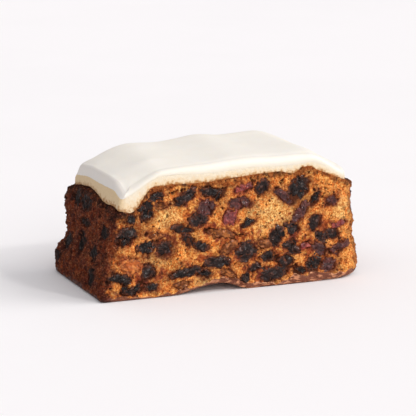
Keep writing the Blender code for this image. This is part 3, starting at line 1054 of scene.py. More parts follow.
@dataclass
class FruitPlan:
    """Where every fruit lies: those in the photograph, and a seeded scatter on the back and the right.

    Each share holds how often a kind comes, its least and its greatest length, and its width to its length.
    """

    form: BarForm
    seed: int = 11
    on_back: int = 36
    on_right: int = 16
    half_back: float = 53.0
    half_right: float = 25.0
    lowest: float = 6.0
    tries: int = 4000
    clearance: float = 1.1
    hidden_clearance: float = 1.5
    share_cut: float = 0.45
    shortest_lobed: float = 6.5
    lobe: tuple[float, float] = (0.34, 0.50)
    shares: dict[Kind, tuple[float, float, float, float]] = field(
        default_factory=lambda: {
            RAISIN: (0.52, 7.5, 12.5, 0.62),
            CURRANT: (0.14, 4.0, 6.0, 0.72),
            SULTANA: (0.12, 6.0, 9.0, 0.58),
            PRUNE: (0.10, 9.0, 12.0, 0.55),
            CHERRY: (0.08, 7.0, 10.0, 0.62),
            PEEL: (0.04, 6.0, 9.0, 0.60),
        }
    )

    def on_side(self, side: Side, across: float, up: float) -> tuple[Vector, Vector, Vector]:
        """Finds a place on a side.

        Args:
            side: which side.
            across: place along it, as seen from outside, from its middle.
            up: height over the base.

        Returns:
            The point, its outward direction and the direction across.
        """
        form = self.form
        if side is Side.FRONT:
            return Vector((across, -form.front_reach(up), up)), Vector((0, -1, 0)), Vector((1, 0, 0))
        if side is Side.BACK:
            return Vector((-across, form.back_reach(up), up)), Vector((0, 1, 0)), Vector((-1, 0, 0))
        if side is Side.LEFT:
            point = Vector((-form.left_reach(-across, up), -across, up))
            return point, Vector((-1, 0, 0.15)).normalized(), Vector((0, -1, 0))
        point = Vector((form.right_reach(up), across, up))
        return point, Vector((1, 0, 0.08)).normalized(), Vector((0, 1, 0))

    def highest_place(self, fruit: Fruit, where: Vector, level: Vector) -> float:
        """Finds how high up its side a fruit may sit and still be clear of the marzipan.

        Args:
            fruit: the fruit.
            where: its middle.
            level: the direction across.

        Returns:
            The height.
        """
        form = self.form
        turn = math.radians(fruit.turn)
        half_height = math.hypot(fruit.length * math.sin(turn), fruit.width * math.cos(turn)) / 2.0
        half_span = math.hypot(fruit.length * math.cos(turn), fruit.width * math.sin(turn)) / 2.0
        ends = [where + level * half_span * side for side in (-1.0, -0.5, 0.0, 0.5, 1.0)]
        lowest = min(form.cake_level(end.x * form.sheet_left / form.half_length, end.y) for end in ends)
        return lowest - self.clearance - 1.1 * half_height

    def top_of(self, side: Side, across: float) -> float:
        """How high fruit may reach at a place across the back or the right."""
        place = (-across, self.form.sheet_back) if side is Side.BACK else (self.form.sheet_right, across)
        return self.form.cake_level(*place) - self.hidden_clearance

    def scattered(self, draw: random.Random, side: Side, count: int, half_width: float) -> list[Fruit]:
        """Spreads fruit over a side that the photograph doesn't show, none of it touching another.

        Args:
            draw: the seeded draw.
            side: the back or the right.
            count: how many fruit.
            half_width: how far from the middle they may lie.

        Returns:
            The fruit.
        """
        kept: list[Fruit] = []
        kinds, often = list(self.shares), [share[0] for share in self.shares.values()]
        for _ in range(self.tries):
            if len(kept) == count:
                break
            kind = draw.choices(kinds, often)[0]
            _, shortest, longest, roundness = self.shares[kind]
            length = draw.uniform(shortest, longest)
            across = draw.uniform(-half_width, half_width)
            up = draw.uniform(self.lowest, self.top_of(side, across) - length / 2.0)
            width = length * roundness * draw.uniform(0.85, 1.15)
            fruit = Fruit(across, up, length, width, draw.uniform(-70.0, 70.0), kind)
            apart = [math.hypot(across - other.across, up - other.up) for other in kept]
            if all(gap > (length + other.length) / 2.0 for gap, other in zip(apart, kept)):
                kept.append(fruit)
        return kept

    def everything(self) -> list[SetFruit]:
        """Lays out all the fruit, with the same draws in the same order each time.

        Returns:
            Every fruit in its place.
        """
        draw = random.Random(self.seed)
        back = self.scattered(draw, Side.BACK, self.on_back, self.half_back)
        right = self.scattered(draw, Side.RIGHT, self.on_right, self.half_right)
        own = random.Random(self.seed + 1)
        back, right = ([self.perhaps_cut(fruit, own.random()) for fruit in row] for row in (back, right))
        rows = ((Side.FRONT, FRONT_FRUIT), (Side.LEFT, LEFT_FRUIT), (Side.BACK, back), (Side.RIGHT, right))
        lobed = [(side, part) for side, row in rows for fruit in row for part in self.with_lobes(own, fruit)]
        return [self.in_place(side, fruit, own.random()) for side, fruit in lobed]

    def with_lobes(self, draw: random.Random, fruit: Fruit) -> list[Fruit]:
        """Breaks up a long fruit's oval outline.

        Args:
            draw: the seeded draw.
            fruit: the fruit.

        Returns:
            The fruit and the smaller lobes at its edge.
        """
        if fruit.kind in (CURRANT, PEEL) or fruit.length < self.shortest_lobed:
            return [fruit]
        parts = [replace(fruit, length=0.97 * fruit.length, width=0.94 * fruit.width)]
        turn, start = math.radians(fruit.turn), draw.uniform(0.0, math.tau)
        for step in range(2 if fruit.length > 9.0 else 1):
            angle = start + step * draw.uniform(2.2, 4.0)
            along, over = 0.33 * fruit.length * math.cos(angle), 0.32 * fruit.width * math.sin(angle)
            length, width = (size * draw.uniform(*self.lobe) for size in (fruit.length, 1.2 * fruit.width))
            across = fruit.across + along * math.cos(turn) - over * math.sin(turn)
            up = max(fruit.up + along * math.sin(turn) + over * math.cos(turn), 2.2 + 0.7 * length)
            parts.append(Fruit(across, up, length, width, fruit.turn + draw.uniform(-60.0, 60.0), fruit.kind))
        return parts

    def perhaps_cut(self, fruit: Fruit, lot: float) -> Fruit:
        """Turns some raisins into cut ones."""
        return replace(fruit, kind=CUT) if fruit.kind is RAISIN and lot < self.share_cut else fruit

    def in_place(self, side: Side, fruit: Fruit, lot: float) -> SetFruit:
        """Turns a fruit into its side.

        Args:
            side: the side that it is on.
            fruit: the fruit.
            lot: a number from 0 to 1 that makes it differ from the others.

        Returns:
            The fruit in its place.
        """
        where, outward, level = self.on_side(side, fruit.across, fruit.up)
        up = min(fruit.up, self.highest_place(fruit, where, level))
        where, outward, level = self.on_side(side, fruit.across, up)
        upward = outward.cross(level)
        turn = math.radians(fruit.turn)
        along = level * math.cos(turn) + upward * math.sin(turn)
        centre = where + outward * self.form.crag(where)
        return SetFruit(fruit, centre, along, outward.cross(along), outward, lot)


def mesh_of(name: str, points: Iterable[Vector], faces: Sequence[tuple[int, ...]] = ()) -> bpy.types.Mesh:
    """Makes a mesh.

    Args:
        name: its name.
        points: its vertices, in the form's own millimetres.
        faces: the vertices of each face.

    Returns:
        The mesh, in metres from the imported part's origin.
    """
    mesh = bpy.data.meshes.new(name)
    mesh.from_pydata([tuple((point + SHIFT) * MM) for point in points], [], faces)
    return mesh


def store(mesh: bpy.types.Mesh, marks: dict[str, Sequence]) -> None:
    """Stores numbers or vectors on the points of a mesh.

    Args:
        mesh: the mesh.
        marks: a number or a vector for every point, under each name.
    """
    for name, values in marks.items():
        plain = np.ascontiguousarray(values, np.float32)
        kind, key = ("FLOAT", "value") if plain.ndim == 1 else ("FLOAT_VECTOR", "vector")
        mesh.attributes.new(name, kind, "POINT").data.foreach_set(key, plain.ravel())


def in_metres(sizes: object, names: Iterable[str]) -> dict[str, float]:
    """Sizes for a tree's inputs: the field lump_size goes into the input Lump Size."""
    return {name: getattr(sizes, name.lower().replace(" ", "_")) * MM for name in names}


def make_piece(
    name: str,
    mesh: bpy.types.Mesh,
    tree: bpy.types.NodeTree,
    values: dict[str, object],
    node: str = "fruit_cake",
) -> bpy.types.Object:
    """Runs a relief's tree on a mesh and ties the result to the part.

    Args:
        name: the piece's name.
        mesh: the mesh, which the result replaces.
        tree: the tree.
        values: what goes into its named inputs.
        node: the node of the part that the piece replaces.

    Returns:
        The piece, a plain mesh with no modifier.
    """
    piece = bpy.data.objects.new(name, mesh)
    bpy.context.scene.collection.objects.link(piece)
    modifier = piece.modifiers.new(tree.name, "NODES")
    modifier.node_group = tree
    sockets = {item.name: item.identifier for item in tree.interface.items_tree if item.in_out == "INPUT"}
    for socket, value in values.items():
        modifier[sockets[socket]] = value
    depsgraph = bpy.context.evaluated_depsgraph_get()
    shaped = piece.evaluated_get(depsgraph)
    plain = bpy.data.meshes.new_from_object(shaped, preserve_all_data_layers=True, depsgraph=depsgraph)
    piece.modifiers.clear()
    piece.data = plain
    bpy.data.meshes.remove(mesh)
    plain.name = name
    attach(piece, "root")
    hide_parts(node)
    return piece


class ReliefBench(NodeBench):
    """A bench for a new Geometry Nodes tree with a geometry input, named inputs and a finish."""

    def __init__(self, name: str, inputs: dict[str, str]) -> None:
        """Starts the tree.

        Args:
            name: its name.
            inputs: the kind of socket for each input between the geometry and the finish.
        """
        inputs = {"Geometry": "Geometry", **inputs, "Finish": "Material"}
        super().__init__(new_tree("GeometryNodeTree", name, inputs, {"Geometry": "Geometry"}))
        self.given = self.outs("NodeGroupInput")
        self.place = self.out("GeometryNodeInputPosition")
        self.normal = self.outs("GeometryNodeInputNormal")["Normal"]

    def mark(self, name: str, kind: str = "FLOAT") -> Flow:
        """A number or a vector that the mesh carries."""
        return self.out("GeometryNodeInputNamedAttribute", {"Name": name}, data_type=kind)

    def keep(self, geometry: Flow, name: str, value: Flow, kind: str = "FLOAT") -> Flow:
        """Stores a value on the points of a geometry."""
        values = {"Geometry": geometry, "Name": name, "Value": value}
        return self.out("GeometryNodeStoreNamedAttribute", values, data_type=kind, domain="POINT")

    def moved(self, geometry: Flow, offset: Flow) -> Flow:
        """Moves the points of a geometry."""
        return self.out("GeometryNodeSetPosition", {"Geometry": geometry, "Offset": offset})

    def chance(self, least: Value, greatest: Value, seed: Flow | None = None) -> Flow:
        """Draws a number or a vector for each point.

        Args:
            least: the least it may be.
            greatest: the greatest.
            seed: the draw's seed, or None for the tree's own.

        Returns:
            The draw.
        """
        kind = "FLOAT_VECTOR" if has_parts(least) else "FLOAT"
        values = {"Min": least, "Max": greatest, "Seed": seed or self.given["Seed"]}
        return self.out("FunctionNodeRandomValue", values, data_type=kind)

    def on_points(self, points: Flow, thing: Flow, turning: Flow, scale: Flow) -> Flow:
        """Sets a thing on every point.

        Args:
            points: the points.
            thing: what stands on them.
            turning: how each is turned about the three axes.
            scale: how far each is stretched.

        Returns:
            All of them as real geometry.
        """
        turned = self.out("FunctionNodeEulerToRotation", {"Euler": turning})
        values = {"Points": points, "Instance": thing, "Rotation": turned, "Scale": scale}
        things = self.out("GeometryNodeInstanceOnPoints", values)
        return self.out("GeometryNodeRealizeInstances", {"Geometry": things})

    def close(self, geometry: Flow) -> bpy.types.NodeTree:
        """Ends the tree with smooth shading, instances made real and the finish.

        Args:
            geometry: what comes out of it.

        Returns:
            The tree.
        """
        geometry = self.out("GeometryNodeSetShadeSmooth", {"Geometry": geometry})
        geometry = self.out("GeometryNodeRealizeInstances", {"Geometry": geometry})
        finish = {"Geometry": geometry, "Material": self.given["Finish"]}
        self.outs("NodeGroupOutput", {"Geometry": self.out("GeometryNodeSetMaterial", finish)})
        return self.tree


TORN_SIZES = ("Lump Size", "Lump Depth", "Grain Size", "Grain Depth", "Pore Size", "Pore Depth")
WRINKLE_SIZES = ("Wrinkle Size", "Wrinkle Depth")
BEND_SIZES = ("Bend Size", "Bend Depth")
SHEET_SIZES = ("Wave Size", "Wave Depth", "Grain Size", "Grain Depth")
LOOSE_SIZES = ("Smallest", "Largest")


def torn_crumb_tree() -> bpy.types.NodeTree:
    """Relief of torn crumb: lumps, granules and pores along the normal, and sockets pressed in by the fruit.

    Returns:
        The tree, which also stores how hollow the crumb is, for painted shade in its hollows.
    """
    bench = ReliefBench("Torn crumb", floats(*TORN_SIZES))
    given, torn_open = bench.given, bench.mark("open")
    lumps = (bench.noise(given["Lump Size"], 3.0, 0.6) - 0.5) * (given["Lump Depth"] * 2.0)
    warped = bench.place + bench.noise(given["Grain Size"], 1.0) * given["Grain Size"]
    dots = bench.cells(given["Grain Size"], "SMOOTH_F1", warped)["Distance"]
    pores = bench.cells(given["Pore Size"], at=warped)
    chosen = bench.split(pores["Color"])["X"].spread(0.45, 0.95)
    bowl = pores["Distance"].spread(0.10, 0.42, 1.0, 0.0) * chosen
    relief = (lumps + (0.45 - dots) * given["Grain Depth"] - bowl * given["Pore Depth"]) * torn_open
    geometry = bench.moved(given["Geometry"], bench.normal * (relief - bench.mark("pressed")))
    # Painted shade: what is stored as hollow darkens the pores, the gaps between granules, the pockets and
    # the sockets.
    between = dots.spread(0.55, 0.85, 0.0, 0.15)
    hollow = bench.most(bowl * torn_open, between * torn_open, bench.mark("torn"))
    return bench.close(bench.keep(geometry, "hollow", hollow))


def set_fruit_tree() -> bpy.types.NodeTree:
    """A wrinkled fruit on every point: rounded blocks, turned and stretched, then bent and creased.

    Returns:
        The tree, which also stores the creases, for painted shade, and the rim.
    """
    sizes = floats("Doming", *WRINKLE_SIZES, *BEND_SIZES)
    bench = ReliefBench("Set fruit", {"Cells": "Int", **sizes})
    given, cells = bench.given, bench.given["Cells"]
    cube = {"Size": (1.0, 1.0, 1.0), "Vertices X": cells, "Vertices Y": cells, "Vertices Z": 4}
    ball = bench.split(bench.vector("NORMALIZE", bench.place))
    height = bench.math("POWER", bench.math("ABSOLUTE", ball["Z"]), given["Doming"])
    dome = height * bench.math("SIGN", ball["Z"])
    half = bench.out("ShaderNodeCombineXYZ", {"X": ball["X"], "Y": ball["Y"], "Z": dome}) * 0.5
    block = {"Geometry": bench.out("GeometryNodeMeshCube", cube), "Position": half}
    shaped = bench.keep(bench.out("GeometryNodeSetPosition", block), "local", half, "FLOAT_VECTOR")
    turning, extent, local = (bench.mark(name, "FLOAT_VECTOR") for name in ("turning", "extent", "local"))
    whole = bench.on_points(given["Geometry"], shaped, turning, extent)
    own = local * extent + bench.mark("lot") * (0.37, 0.21, 0.53)
    bend = bench.wander(given["Bend Size"], own) * given["Bend Depth"]
    nick = bench.wander(given["Bend Size"] * 0.4, own) * (given["Bend Depth"] * 0.4)
    size = given["Wrinkle Size"]
    swayed = own + bench.wander(size * 2.0, own) * (size * 3.0)
    folds = bench.noise(size, 2.0, 0.55, swayed * (0.6, 1.0, 1.0))
    ridge = bench.math("MINIMUM", bench.math("ABSOLUTE", folds * 2.0 - 1.0) * 3.0, 1.0)
    ridge = bench.math("POWER", ridge, 0.6)
    lift = bench.normal * ((ridge - 0.8) * given["Wrinkle Depth"])
    geometry = bench.moved(bench.moved(whole, bend + nick), lift)
    out_from_middle = bench.vector("LENGTH", local * (1.0, 1.0, 0.0))
    geometry = bench.keep(geometry, "rim", out_from_middle.spread(0.25, 0.39))
    return bench.close(bench.keep(geometry, "crease", ridge.spread(0.10, 0.65, 0.85, 0.0)))


def rolled_sheet_tree() -> bpy.types.NodeTree:
    """Relief of a rolled sheet: slow waves over its faces and granules on its cut edge.

    Returns:
        The tree.
    """
    bench = ReliefBench("Rolled sheet", floats(*SHEET_SIZES))
    given, size = bench.given, bench.given["Grain Size"]
    waves = (bench.noise(given["Wave Size"], 2.0, 0.45) - 0.5) * given["Wave Depth"]
    dots = bench.cells(size, "SMOOTH_F1")["Distance"]
    rough = (bench.noise(size, 2.0, 0.6) - dots) * given["Grain Depth"] * bench.mark("cut")
    return bench.close(bench.moved(given["Geometry"], bench.normal * (waves + rough)))


def loose_grain_tree() -> bpy.types.NodeTree:
    """Small grains spread over a surface where it says so, each turned and sized by a seeded draw.

    Returns:
        The tree.
    """
    inputs = {**floats("Density", *LOOSE_SIZES), "Seed": "Int", "Fineness": "Int"}
    bench = ReliefBench("Loose grains", inputs)
    given, pale = bench.given, bench.mark("pale")
    density = given["Density"] * bench.mark("strewn")
    strewn = {"Mesh": given["Geometry"], "Density": density, "Seed": given["Seed"]}
    points = bench.outs("GeometryNodeDistributePointsOnFaces", strewn)["Points"]
    paler = bench.chance(-0.35, 0.75, given["Seed"] + 7.75) + pale
    darker = bench.chance(-0.9, 0.45, given["Seed"] + 7.45)
    # Random paler and darker grains; the darker ones take the colour of the crumb's painted hollow shade.
    for name, value in (("pale", paler), ("hollow", darker)):
        points = bench.keep(points, name, bench.math("MINIMUM", bench.most(value, 0.0), 1.0))
    ball = bench.out("GeometryNodeMeshIcoSphere", {"Radius": 0.5, "Subdivisions": given["Fineness"]})
    turning = bench.chance((0.0, 0.0, 0.0), (6.28, 6.28, 6.28))
    girth = bench.chance((0.6, 0.6, 0.5), (1.3, 1.0, 0.9))
    grains = bench.on_points(points, ball, turning, girth * bench.chance(given["Smallest"], given["Largest"]))
    dent = (bench.noise(given["Largest"], 1.0) - 0.5) * (given["Largest"] * 0.5)
    return bench.close(bench.moved(grains, bench.normal * dent))


@dataclass(frozen=True)
class Spot:
    """A vertex of the bar: its point and place in plan, its height over the base and depth under the top."""

    point: Vector
    u: float
    v: float
    lift: float
    drop: float


@dataclass
class CrumbBar:
    """The baked bar: rings of points up its sides, closed above and below, with torn relief."""

    form: BarForm
    fruit: list[SetFruit]
    columns: tuple[int, ...] = (330, 120, 190, 140)
    rows: int = 110
    base_rings: tuple[float, ...] = (0.08, 0.25, 0.45, 0.66, 0.82, 0.92, 0.975)
    top_rings: tuple[float, ...] = (0.96, 0.70, 0.35, 0.10)
    far: float = 50.0
    front_from: float = -25.0
    cloud_sizes: tuple[float, float, float] = (1.4, 3.5, 9.0)
    lump_size: float = 4.2
    lump_depth: float = 1.9
    grain_size: float = 1.3
    grain_depth: float = 0.6
    pore_size: float = 3.2
    pore_depth: float = 1.1
    socket_depth: float = 1.3
    raggedness: float = 1.7
    groove_depth: float = 1.3
    pocket_depth: float = 1.6
    stain_reach: float = 0.5
    stain_drift: float = 6.0
    syrup_reach: float = 1.6
    socket_rim: tuple[float, float] = (0.80, 1.03)
    pocket_rim: tuple[float, float] = (0.55, 1.15)
    pale_rim: tuple[float, float] = (0.2, 1.0)
    brown_rim: tuple[float, float] = (0.25, 0.95)
    crust_rim: tuple[float, float] = (0.8, 2.4)
    lid_rim: tuple[float, float] = (1.1, 4.4)
    corner_syrup_and_shade: tuple[float, float] = (1.0, 8.0)
    left_corner_shade: tuple[float, float] = (0.5, 9.0)
    right_darkening: float = 0.55
    back_darkening: float = 0.45

    def perimeter(self) -> list[tuple[float, float]]:
        """Walks round the bar, anticlockwise from the front's left corner.

        Returns:
            Places along and across it, from -1 to 1.
        """
        ends = [(-1.0, -1.0), (1.0, -1.0), (1.0, 1.0), (-1.0, 1.0)]
        points = []
        for start, stop, count in zip(ends, ends[1:] + ends[:1], self.columns):
            for step in range(count):
                share = step / count
                points.append(tuple(first + (last - first) * share for first, last in zip(start, stop)))
        return points

    def side_spot(self, u: float, v: float, share: float) -> Spot:
        """Finds a vertex of the side, with its crag.

        Args:
            u: place along the bar, from -1 to 1.
            v: place across it, from -1 to 1.
            share: how far up it is, from 0 at the base to 1 at the top.

        Returns:
            The vertex.
        """
        form = self.form
        flat_x, flat_y = form.sheet_plan(u, v)
        base = form.base_level(flat_x * form.half_length / form.sheet_left, flat_y)
        top = form.cake_level(flat_x, flat_y)
        z = base + (top - base) * share
        x, y = form.side_plan(u, v, z - base)
        point = Vector((x, y, z))
        outward = Vector((x, y * form.half_length / form.half_depth, 0.0)).normalized()
        point += outward * form.crag(point) * smooth(0.0, 2.0, z - base)
        point = point.lerp(Vector((flat_x, flat_y, z)), smooth(top - 2.2, top, z))
        return Spot(point, u, v, z - base, top - z)

    def rings(self) -> list[list[Spot]]:
        """Finds every vertex of the bar.

        Returns:
            Rings from the middle of the base out, up the sides, and in to the middle of the top.
        """
        form, around = self.form, self.perimeter()
        foot = [self.side_spot(u, v, 0.0) for u, v in around]
        rings = []
        for share in self.base_rings:
            ring = []
            for spot in foot:
                x, y = spot.point.x * share, spot.point.y * share
                point = Vector((x, y, form.base_level(x, y)))
                ring.append(Spot(point, spot.u * share, spot.v * share, 0.0, self.far))
            rings.append(ring)
        for row in range(self.rows + 1):
            rings.append([self.side_spot(u, v, row / self.rows) for u, v in around])
        for share in self.top_rings:
            ring = []
            for u, v in around:
                x, y = form.sheet_plan(u * share, v * share)
                ring.append(Spot(Vector((x, y, form.cake_level(x, y))), u, v, self.far, 0.0))
            rings.append(ring)
        return rings

    def faces(self, ring_count: int, around: int) -> list[tuple[int, ...]]:
        """Joins the rings.

        Args:
            ring_count: how many rings there are.
            around: how many vertices each has.

        Returns:
            Quads between the rings, and one polygon at each end.
        """
        faces = [tuple(reversed(range(around)))]
        for low in range(0, (ring_count - 1) * around, around):
            for step in range(around):
                beyond = (step + 1) % around
                faces.append((low + step, low + beyond, low + around + beyond, low + around + step))
        return [*faces, tuple(range((ring_count - 1) * around, ring_count * around))]

    def nearness(self, points: np.ndarray, each: SetFruit, ragged: np.ndarray) -> np.ndarray:
        """How far points are from a fruit's outline.

        Args:
            points: the points.
            each: the fruit.
            ragged: a number for each point that makes the outline uneven.

        Returns:
            The share of the way out to its outline, and the distance beyond it.
        """
        away = points - np.array(each.centre)
        along = away @ np.array(each.along) / (each.fruit.length / 2.0)
        across = away @ np.array(each.across) / (each.fruit.width / 2.0)
        depth = np.abs(away @ np.array(each.outward))
        girth = (each.fruit.width + 0.25 * (each.fruit.length - each.fruit.width)) / 2.0
        share = np.sqrt(along**2 + across**2) + np.maximum(depth - 3.0, 0.0) + ragged / girth
        return np.array((share, (share - 1.0) * girth))

    def by_fruit(self, points: np.ndarray, clouds: np.ndarray) -> np.ndarray:
        """Works out what the fruit does to the crumb round it.

        Args:
            points: the bar's vertices.
            clouds: fine, middling and broad noise at them.

        Returns:
            How far each vertex is pressed in, and how much stain, syrup and rosy juice it holds.
        """
        fine, mid, broad = clouds
        pressed, stain, syrup, rosy = np.zeros((4, len(points)))
        cracked, drift = smooth_all(0.02, 0.45, mid + 0.5 * broad), np.maximum(broad + 0.4 * mid, 0.0)
        for each in self.fruit:
            share, distance = self.nearness(points, each, self.raggedness * (mid + 0.8 * fine))
            outside = np.maximum(distance, 0.0)
            groove = self.groove_depth * (np.exp(-(((distance - 0.1) / 0.6) ** 2)) * cracked)
            socket = self.socket_depth * fade_all(*self.socket_rim, share)
            pressed = np.maximum(pressed, np.maximum(socket, groove))
            near = np.exp(-outside / (self.stain_reach + self.stain_drift * drift * each.lot))
            if each.fruit.kind in (CHERRY, PEEL):
                rosy = np.maximum(rosy, near)
                near = near * 0.25
            stain = np.maximum(stain, 0.85 * near)
            syrup = np.maximum(syrup, np.exp(-outside / self.syrup_reach) * (0.5 + 0.5 * each.lot))
        return np.array((pressed, stain, syrup, rosy))

    def patched(
        self, ovals: list[Oval], points: np.ndarray, ragged: np.ndarray, rim: tuple[float, float]
    ) -> np.ndarray:
        """Marks ragged ovals on the front, full inside their rim and gone outside it."""
        nearest = np.min([oval.share(points[:, 0], points[:, 2]) for oval in ovals], axis=0)
        return fade_all(*rim, nearest + ragged) * (points[:, 1] < self.front_from)

    def marks(self, spots: list[Spot]) -> dict[str, np.ndarray]:
        """Works out what the relief and the finish read: sockets, pockets, stains, the ends' painted shade
        and browning, and crust.

        Args:
            spots: the bar's vertices.

        Returns:
            A number for each vertex, under each name.
        """
        half_length = self.form.half_length
        points = np.array([spot.point for spot in spots])
        u, v, lift, drop = np.array([(spot.u, spot.v, spot.lift, spot.drop) for spot in spots]).T
        x, y, _ = points.T
        clouds = np.array([[noise.noise(spot.point / size) for spot in spots] for size in self.cloud_sizes])
        fine, mid, broad = clouds
        pressed, stain, syrup, rosy = self.by_fruit(points, clouds)
        torn = self.patched(POCKETS, points, 0.9 * fine + 0.5 * mid, self.pocket_rim)
        pale = self.patched(PALE_PATCHES, points, 0.7 * mid + 0.5 * fine, self.pale_rim)
        brown = self.patched(BROWN_PATCHES, points, mid + 0.9 * fine, self.brown_rim)
        stain = np.maximum(stain, 0.60 * brown * smooth_all(-0.1, 0.35, mid + 0.6 * fine))
        from_left, from_right = (u + 1.0) * half_length, (1.0 - u) * half_length
        # Darker towards the front's left corner, in the syrup colour: partly painted shade where the face
        # turns away from the light.
        corner = 0.65 * fade_all(*self.corner_syrup_and_shade, from_left + 5.0 * mid + 3.0 * fine)
        syrup = np.maximum(np.maximum(syrup, 0.95 * brown), corner)
        side = smooth_all(0.0, 1.6, lift) * smooth_all(0.0, 0.9, drop)
        raised = 2.2 * smooth_all(14.0, 36.0, x) + 1.8 * fade_all(0.0, 12.0, np.abs(x - 3.0))
        crust = fade_all(*self.crust_rim, lift - raised + 1.6 * mid + 1.2 * broad)
        hanging = 1.6 * fade_all(0.0, 12.0, from_left)
        lid = fade_all(*self.lid_rim, drop - hanging + 4.2 * mid + 2.4 * fine)
        # The ends darken: painted shade on the left end and near its corner on the front, an assumed browning
        # at the right and the back.
        near_left = fade_all(*self.left_corner_shade, from_left + 4.0 * mid + 3.0 * fine)
        near_right = fade_all(0.0, 6.0, from_right + 3.0 * mid)
        left, right = np.where(u < -OUTER, 1.0, near_left), np.where(u > OUTER, 1.0, near_right)
        dusk = np.maximum(np.maximum(left, self.right_darkening * right), np.where(v > OUTER, self.back_darkening, 0.0))
        rough = (1.0 + 0.35 * (u < -OUTER)) * smooth_all(0.3, 2.4, lift) * smooth_all(0.0, 0.7, drop)
        shown = np.where(y < -28.0, 1.0, np.where(x < -55.0, 0.6, 0.25))
        clear = (1.0 - np.clip(1.2 * pressed, 0.0, 1.0)) * (1.0 - 0.9 * crust)
        return {
            "pressed": np.maximum(pressed, self.pocket_depth * torn) * MM * side,
            "torn": np.maximum(torn, smooth_all(0.55, 1.1, pressed)) * side,
            "stain": np.clip(stain, 0.0, 1.0),
            "syrup": np.clip(syrup, 0.0, 0.9),
            "rosy": np.clip(rosy, 0.0, 1.0),
            "pale": np.clip(0.8 * pale, 0.0, 1.0),
            "lid": np.clip(0.9 * lid, 0.0, 1.0),
            "dusk": np.clip(dusk * (1.0 + 0.25 * broad), 0.0, 1.0),
            "crust": crust,
            "open": rough * (1.0 - 0.75 * crust),
            "strewn": side * smooth_all(0.9, 2.6, lift) * clear * shown * (1.0 + 0.8 * lid),
        }

    def build(self) -> bpy.types.Object:
        """Makes the bar, its marks and its relief.

        Returns:
            The piece.
        """
        rings = self.rings()
        spots = [spot for ring in rings for spot in ring]
        mesh = mesh_of("crumb", (spot.point for spot in spots), self.faces(len(rings), len(rings[0])))
        store(mesh, self.marks(spots))
        values = {**in_metres(self, TORN_SIZES), "Finish": CrumbFinish().material()}
        return make_piece("crumb", mesh, torn_crumb_tree(), values)


@dataclass
class LooseGrains:
    """Grains of crumb that cling to the torn sides, with the colours of what they lie on."""

    density: float = 0.85
    smallest: float = 0.45
    largest: float = 1.05
    seed: int = 4
    fineness: int = 1

    def build(self, ground: bpy.types.Object) -> bpy.types.Object:
        """Strews the grains.

        Args:
            ground: the crumb that they cling to.

        Returns:
            The piece.
        """
        values = {"Density": self.density / MM**2, "Seed": self.seed, "Fineness": self.fineness}
        values |= {**in_metres(self, LOOSE_SIZES), "Finish": ground.data.materials[0]}
        return make_piece("loose_grains", ground.data.copy(), loose_grain_tree(), values)


@dataclass(frozen=True)
class Cushion:
    """How a kind of fruit is shaped: how flat, how wide for its outline, how proud and how wrinkled."""

    doming: float
    spread: float
    proud: float
    wrinkle_size: float
    wrinkle_depth: float


WRINKLED = Cushion(0.55, 1.24, 0.35, 1.35, 0.65)
PLUMP = Cushion(0.50, 1.26, 0.25, 2.20, 0.40)
SLICED = Cushion(0.40, 1.34, -0.15, 1.60, 0.30)
CUSHIONS = {
    **dict.fromkeys((RAISIN, CURRANT, PEEL), WRINKLED),
    **dict.fromkeys((CUT, SULTANA, PRUNE), SLICED),
    CHERRY: PLUMP,
}


@dataclass
class FruitPieces:
    """The fruit, one piece for each kind."""

    fruit: list[SetFruit]
    tree: bpy.types.NodeTree
    thickness: float = 3.4
    unevenness: float = 0.7
    high: tuple[float, float] = (34.0, 43.0)
    near: tuple[float, float] = (-20.0, -14.0)
    sink_right: float = 0.9
    sink_high: float = 1.5
    sink_near: float = 1.2
    sink_back: float = 0.4
    cells: int = 20
    bend_size: float = 3.8
    bend_depth: float = 3.9

    def sunk(self, each: SetFruit) -> float:
        """How much deeper a fruit sits on the right and the back, most where the right makes the outline.

        Args:
            each: the fruit.

        Returns:
            The depth.
        """
        high, near = smooth(*self.high, each.centre.z), fade(*self.near, each.centre.y)
        on_right = self.sink_right + self.sink_high * high + self.sink_near * near
        return on_right * max(each.outward.x, 0.0) + self.sink_back * max(each.outward.y, 0.0)

    def build(self, kind: Kind) -> bpy.types.Object:
        """Makes every fruit of one kind as one piece.

        Args:
            kind: the kind.

        Returns:
            The piece.
        """
        cushion = CUSHIONS[kind]
        chosen = [each for each in self.fruit if each.fruit.kind is kind]
        sink = cushion.proud - self.thickness / 2.0
        lifts = [sink + self.unevenness * (each.lot - 0.5) - self.sunk(each) for each in chosen]
        mesh = mesh_of(kind.value, (each.centre + each.outward * lift for each, lift in zip(chosen, lifts)))
        turns = [Matrix((each.along, each.across, each.outward)).transposed().to_euler() for each in chosen]
        wide, shapes = cushion.spread * MM, [each.fruit for each in chosen]
        marks = {
            "turning": [tuple(turn) for turn in turns],
            "extent": [(fruit.length * wide, fruit.width * wide, self.thickness * MM) for fruit in shapes],
            "lot": [each.lot for each in chosen],
            # How far a fruit faces left, for its painted shade.
            "dusk": [max(-each.outward.x, 0.0) for each in chosen],
        }
        store(mesh, marks)
        values = {"Cells": self.cells, "Doming": cushion.doming, "Finish": FRUIT_FINISHES[kind].material()}
        values |= {**in_metres(cushion, WRINKLE_SIZES), **in_metres(self, BEND_SIZES)}
        return make_piece(kind.piece_name, mesh, self.tree, values)


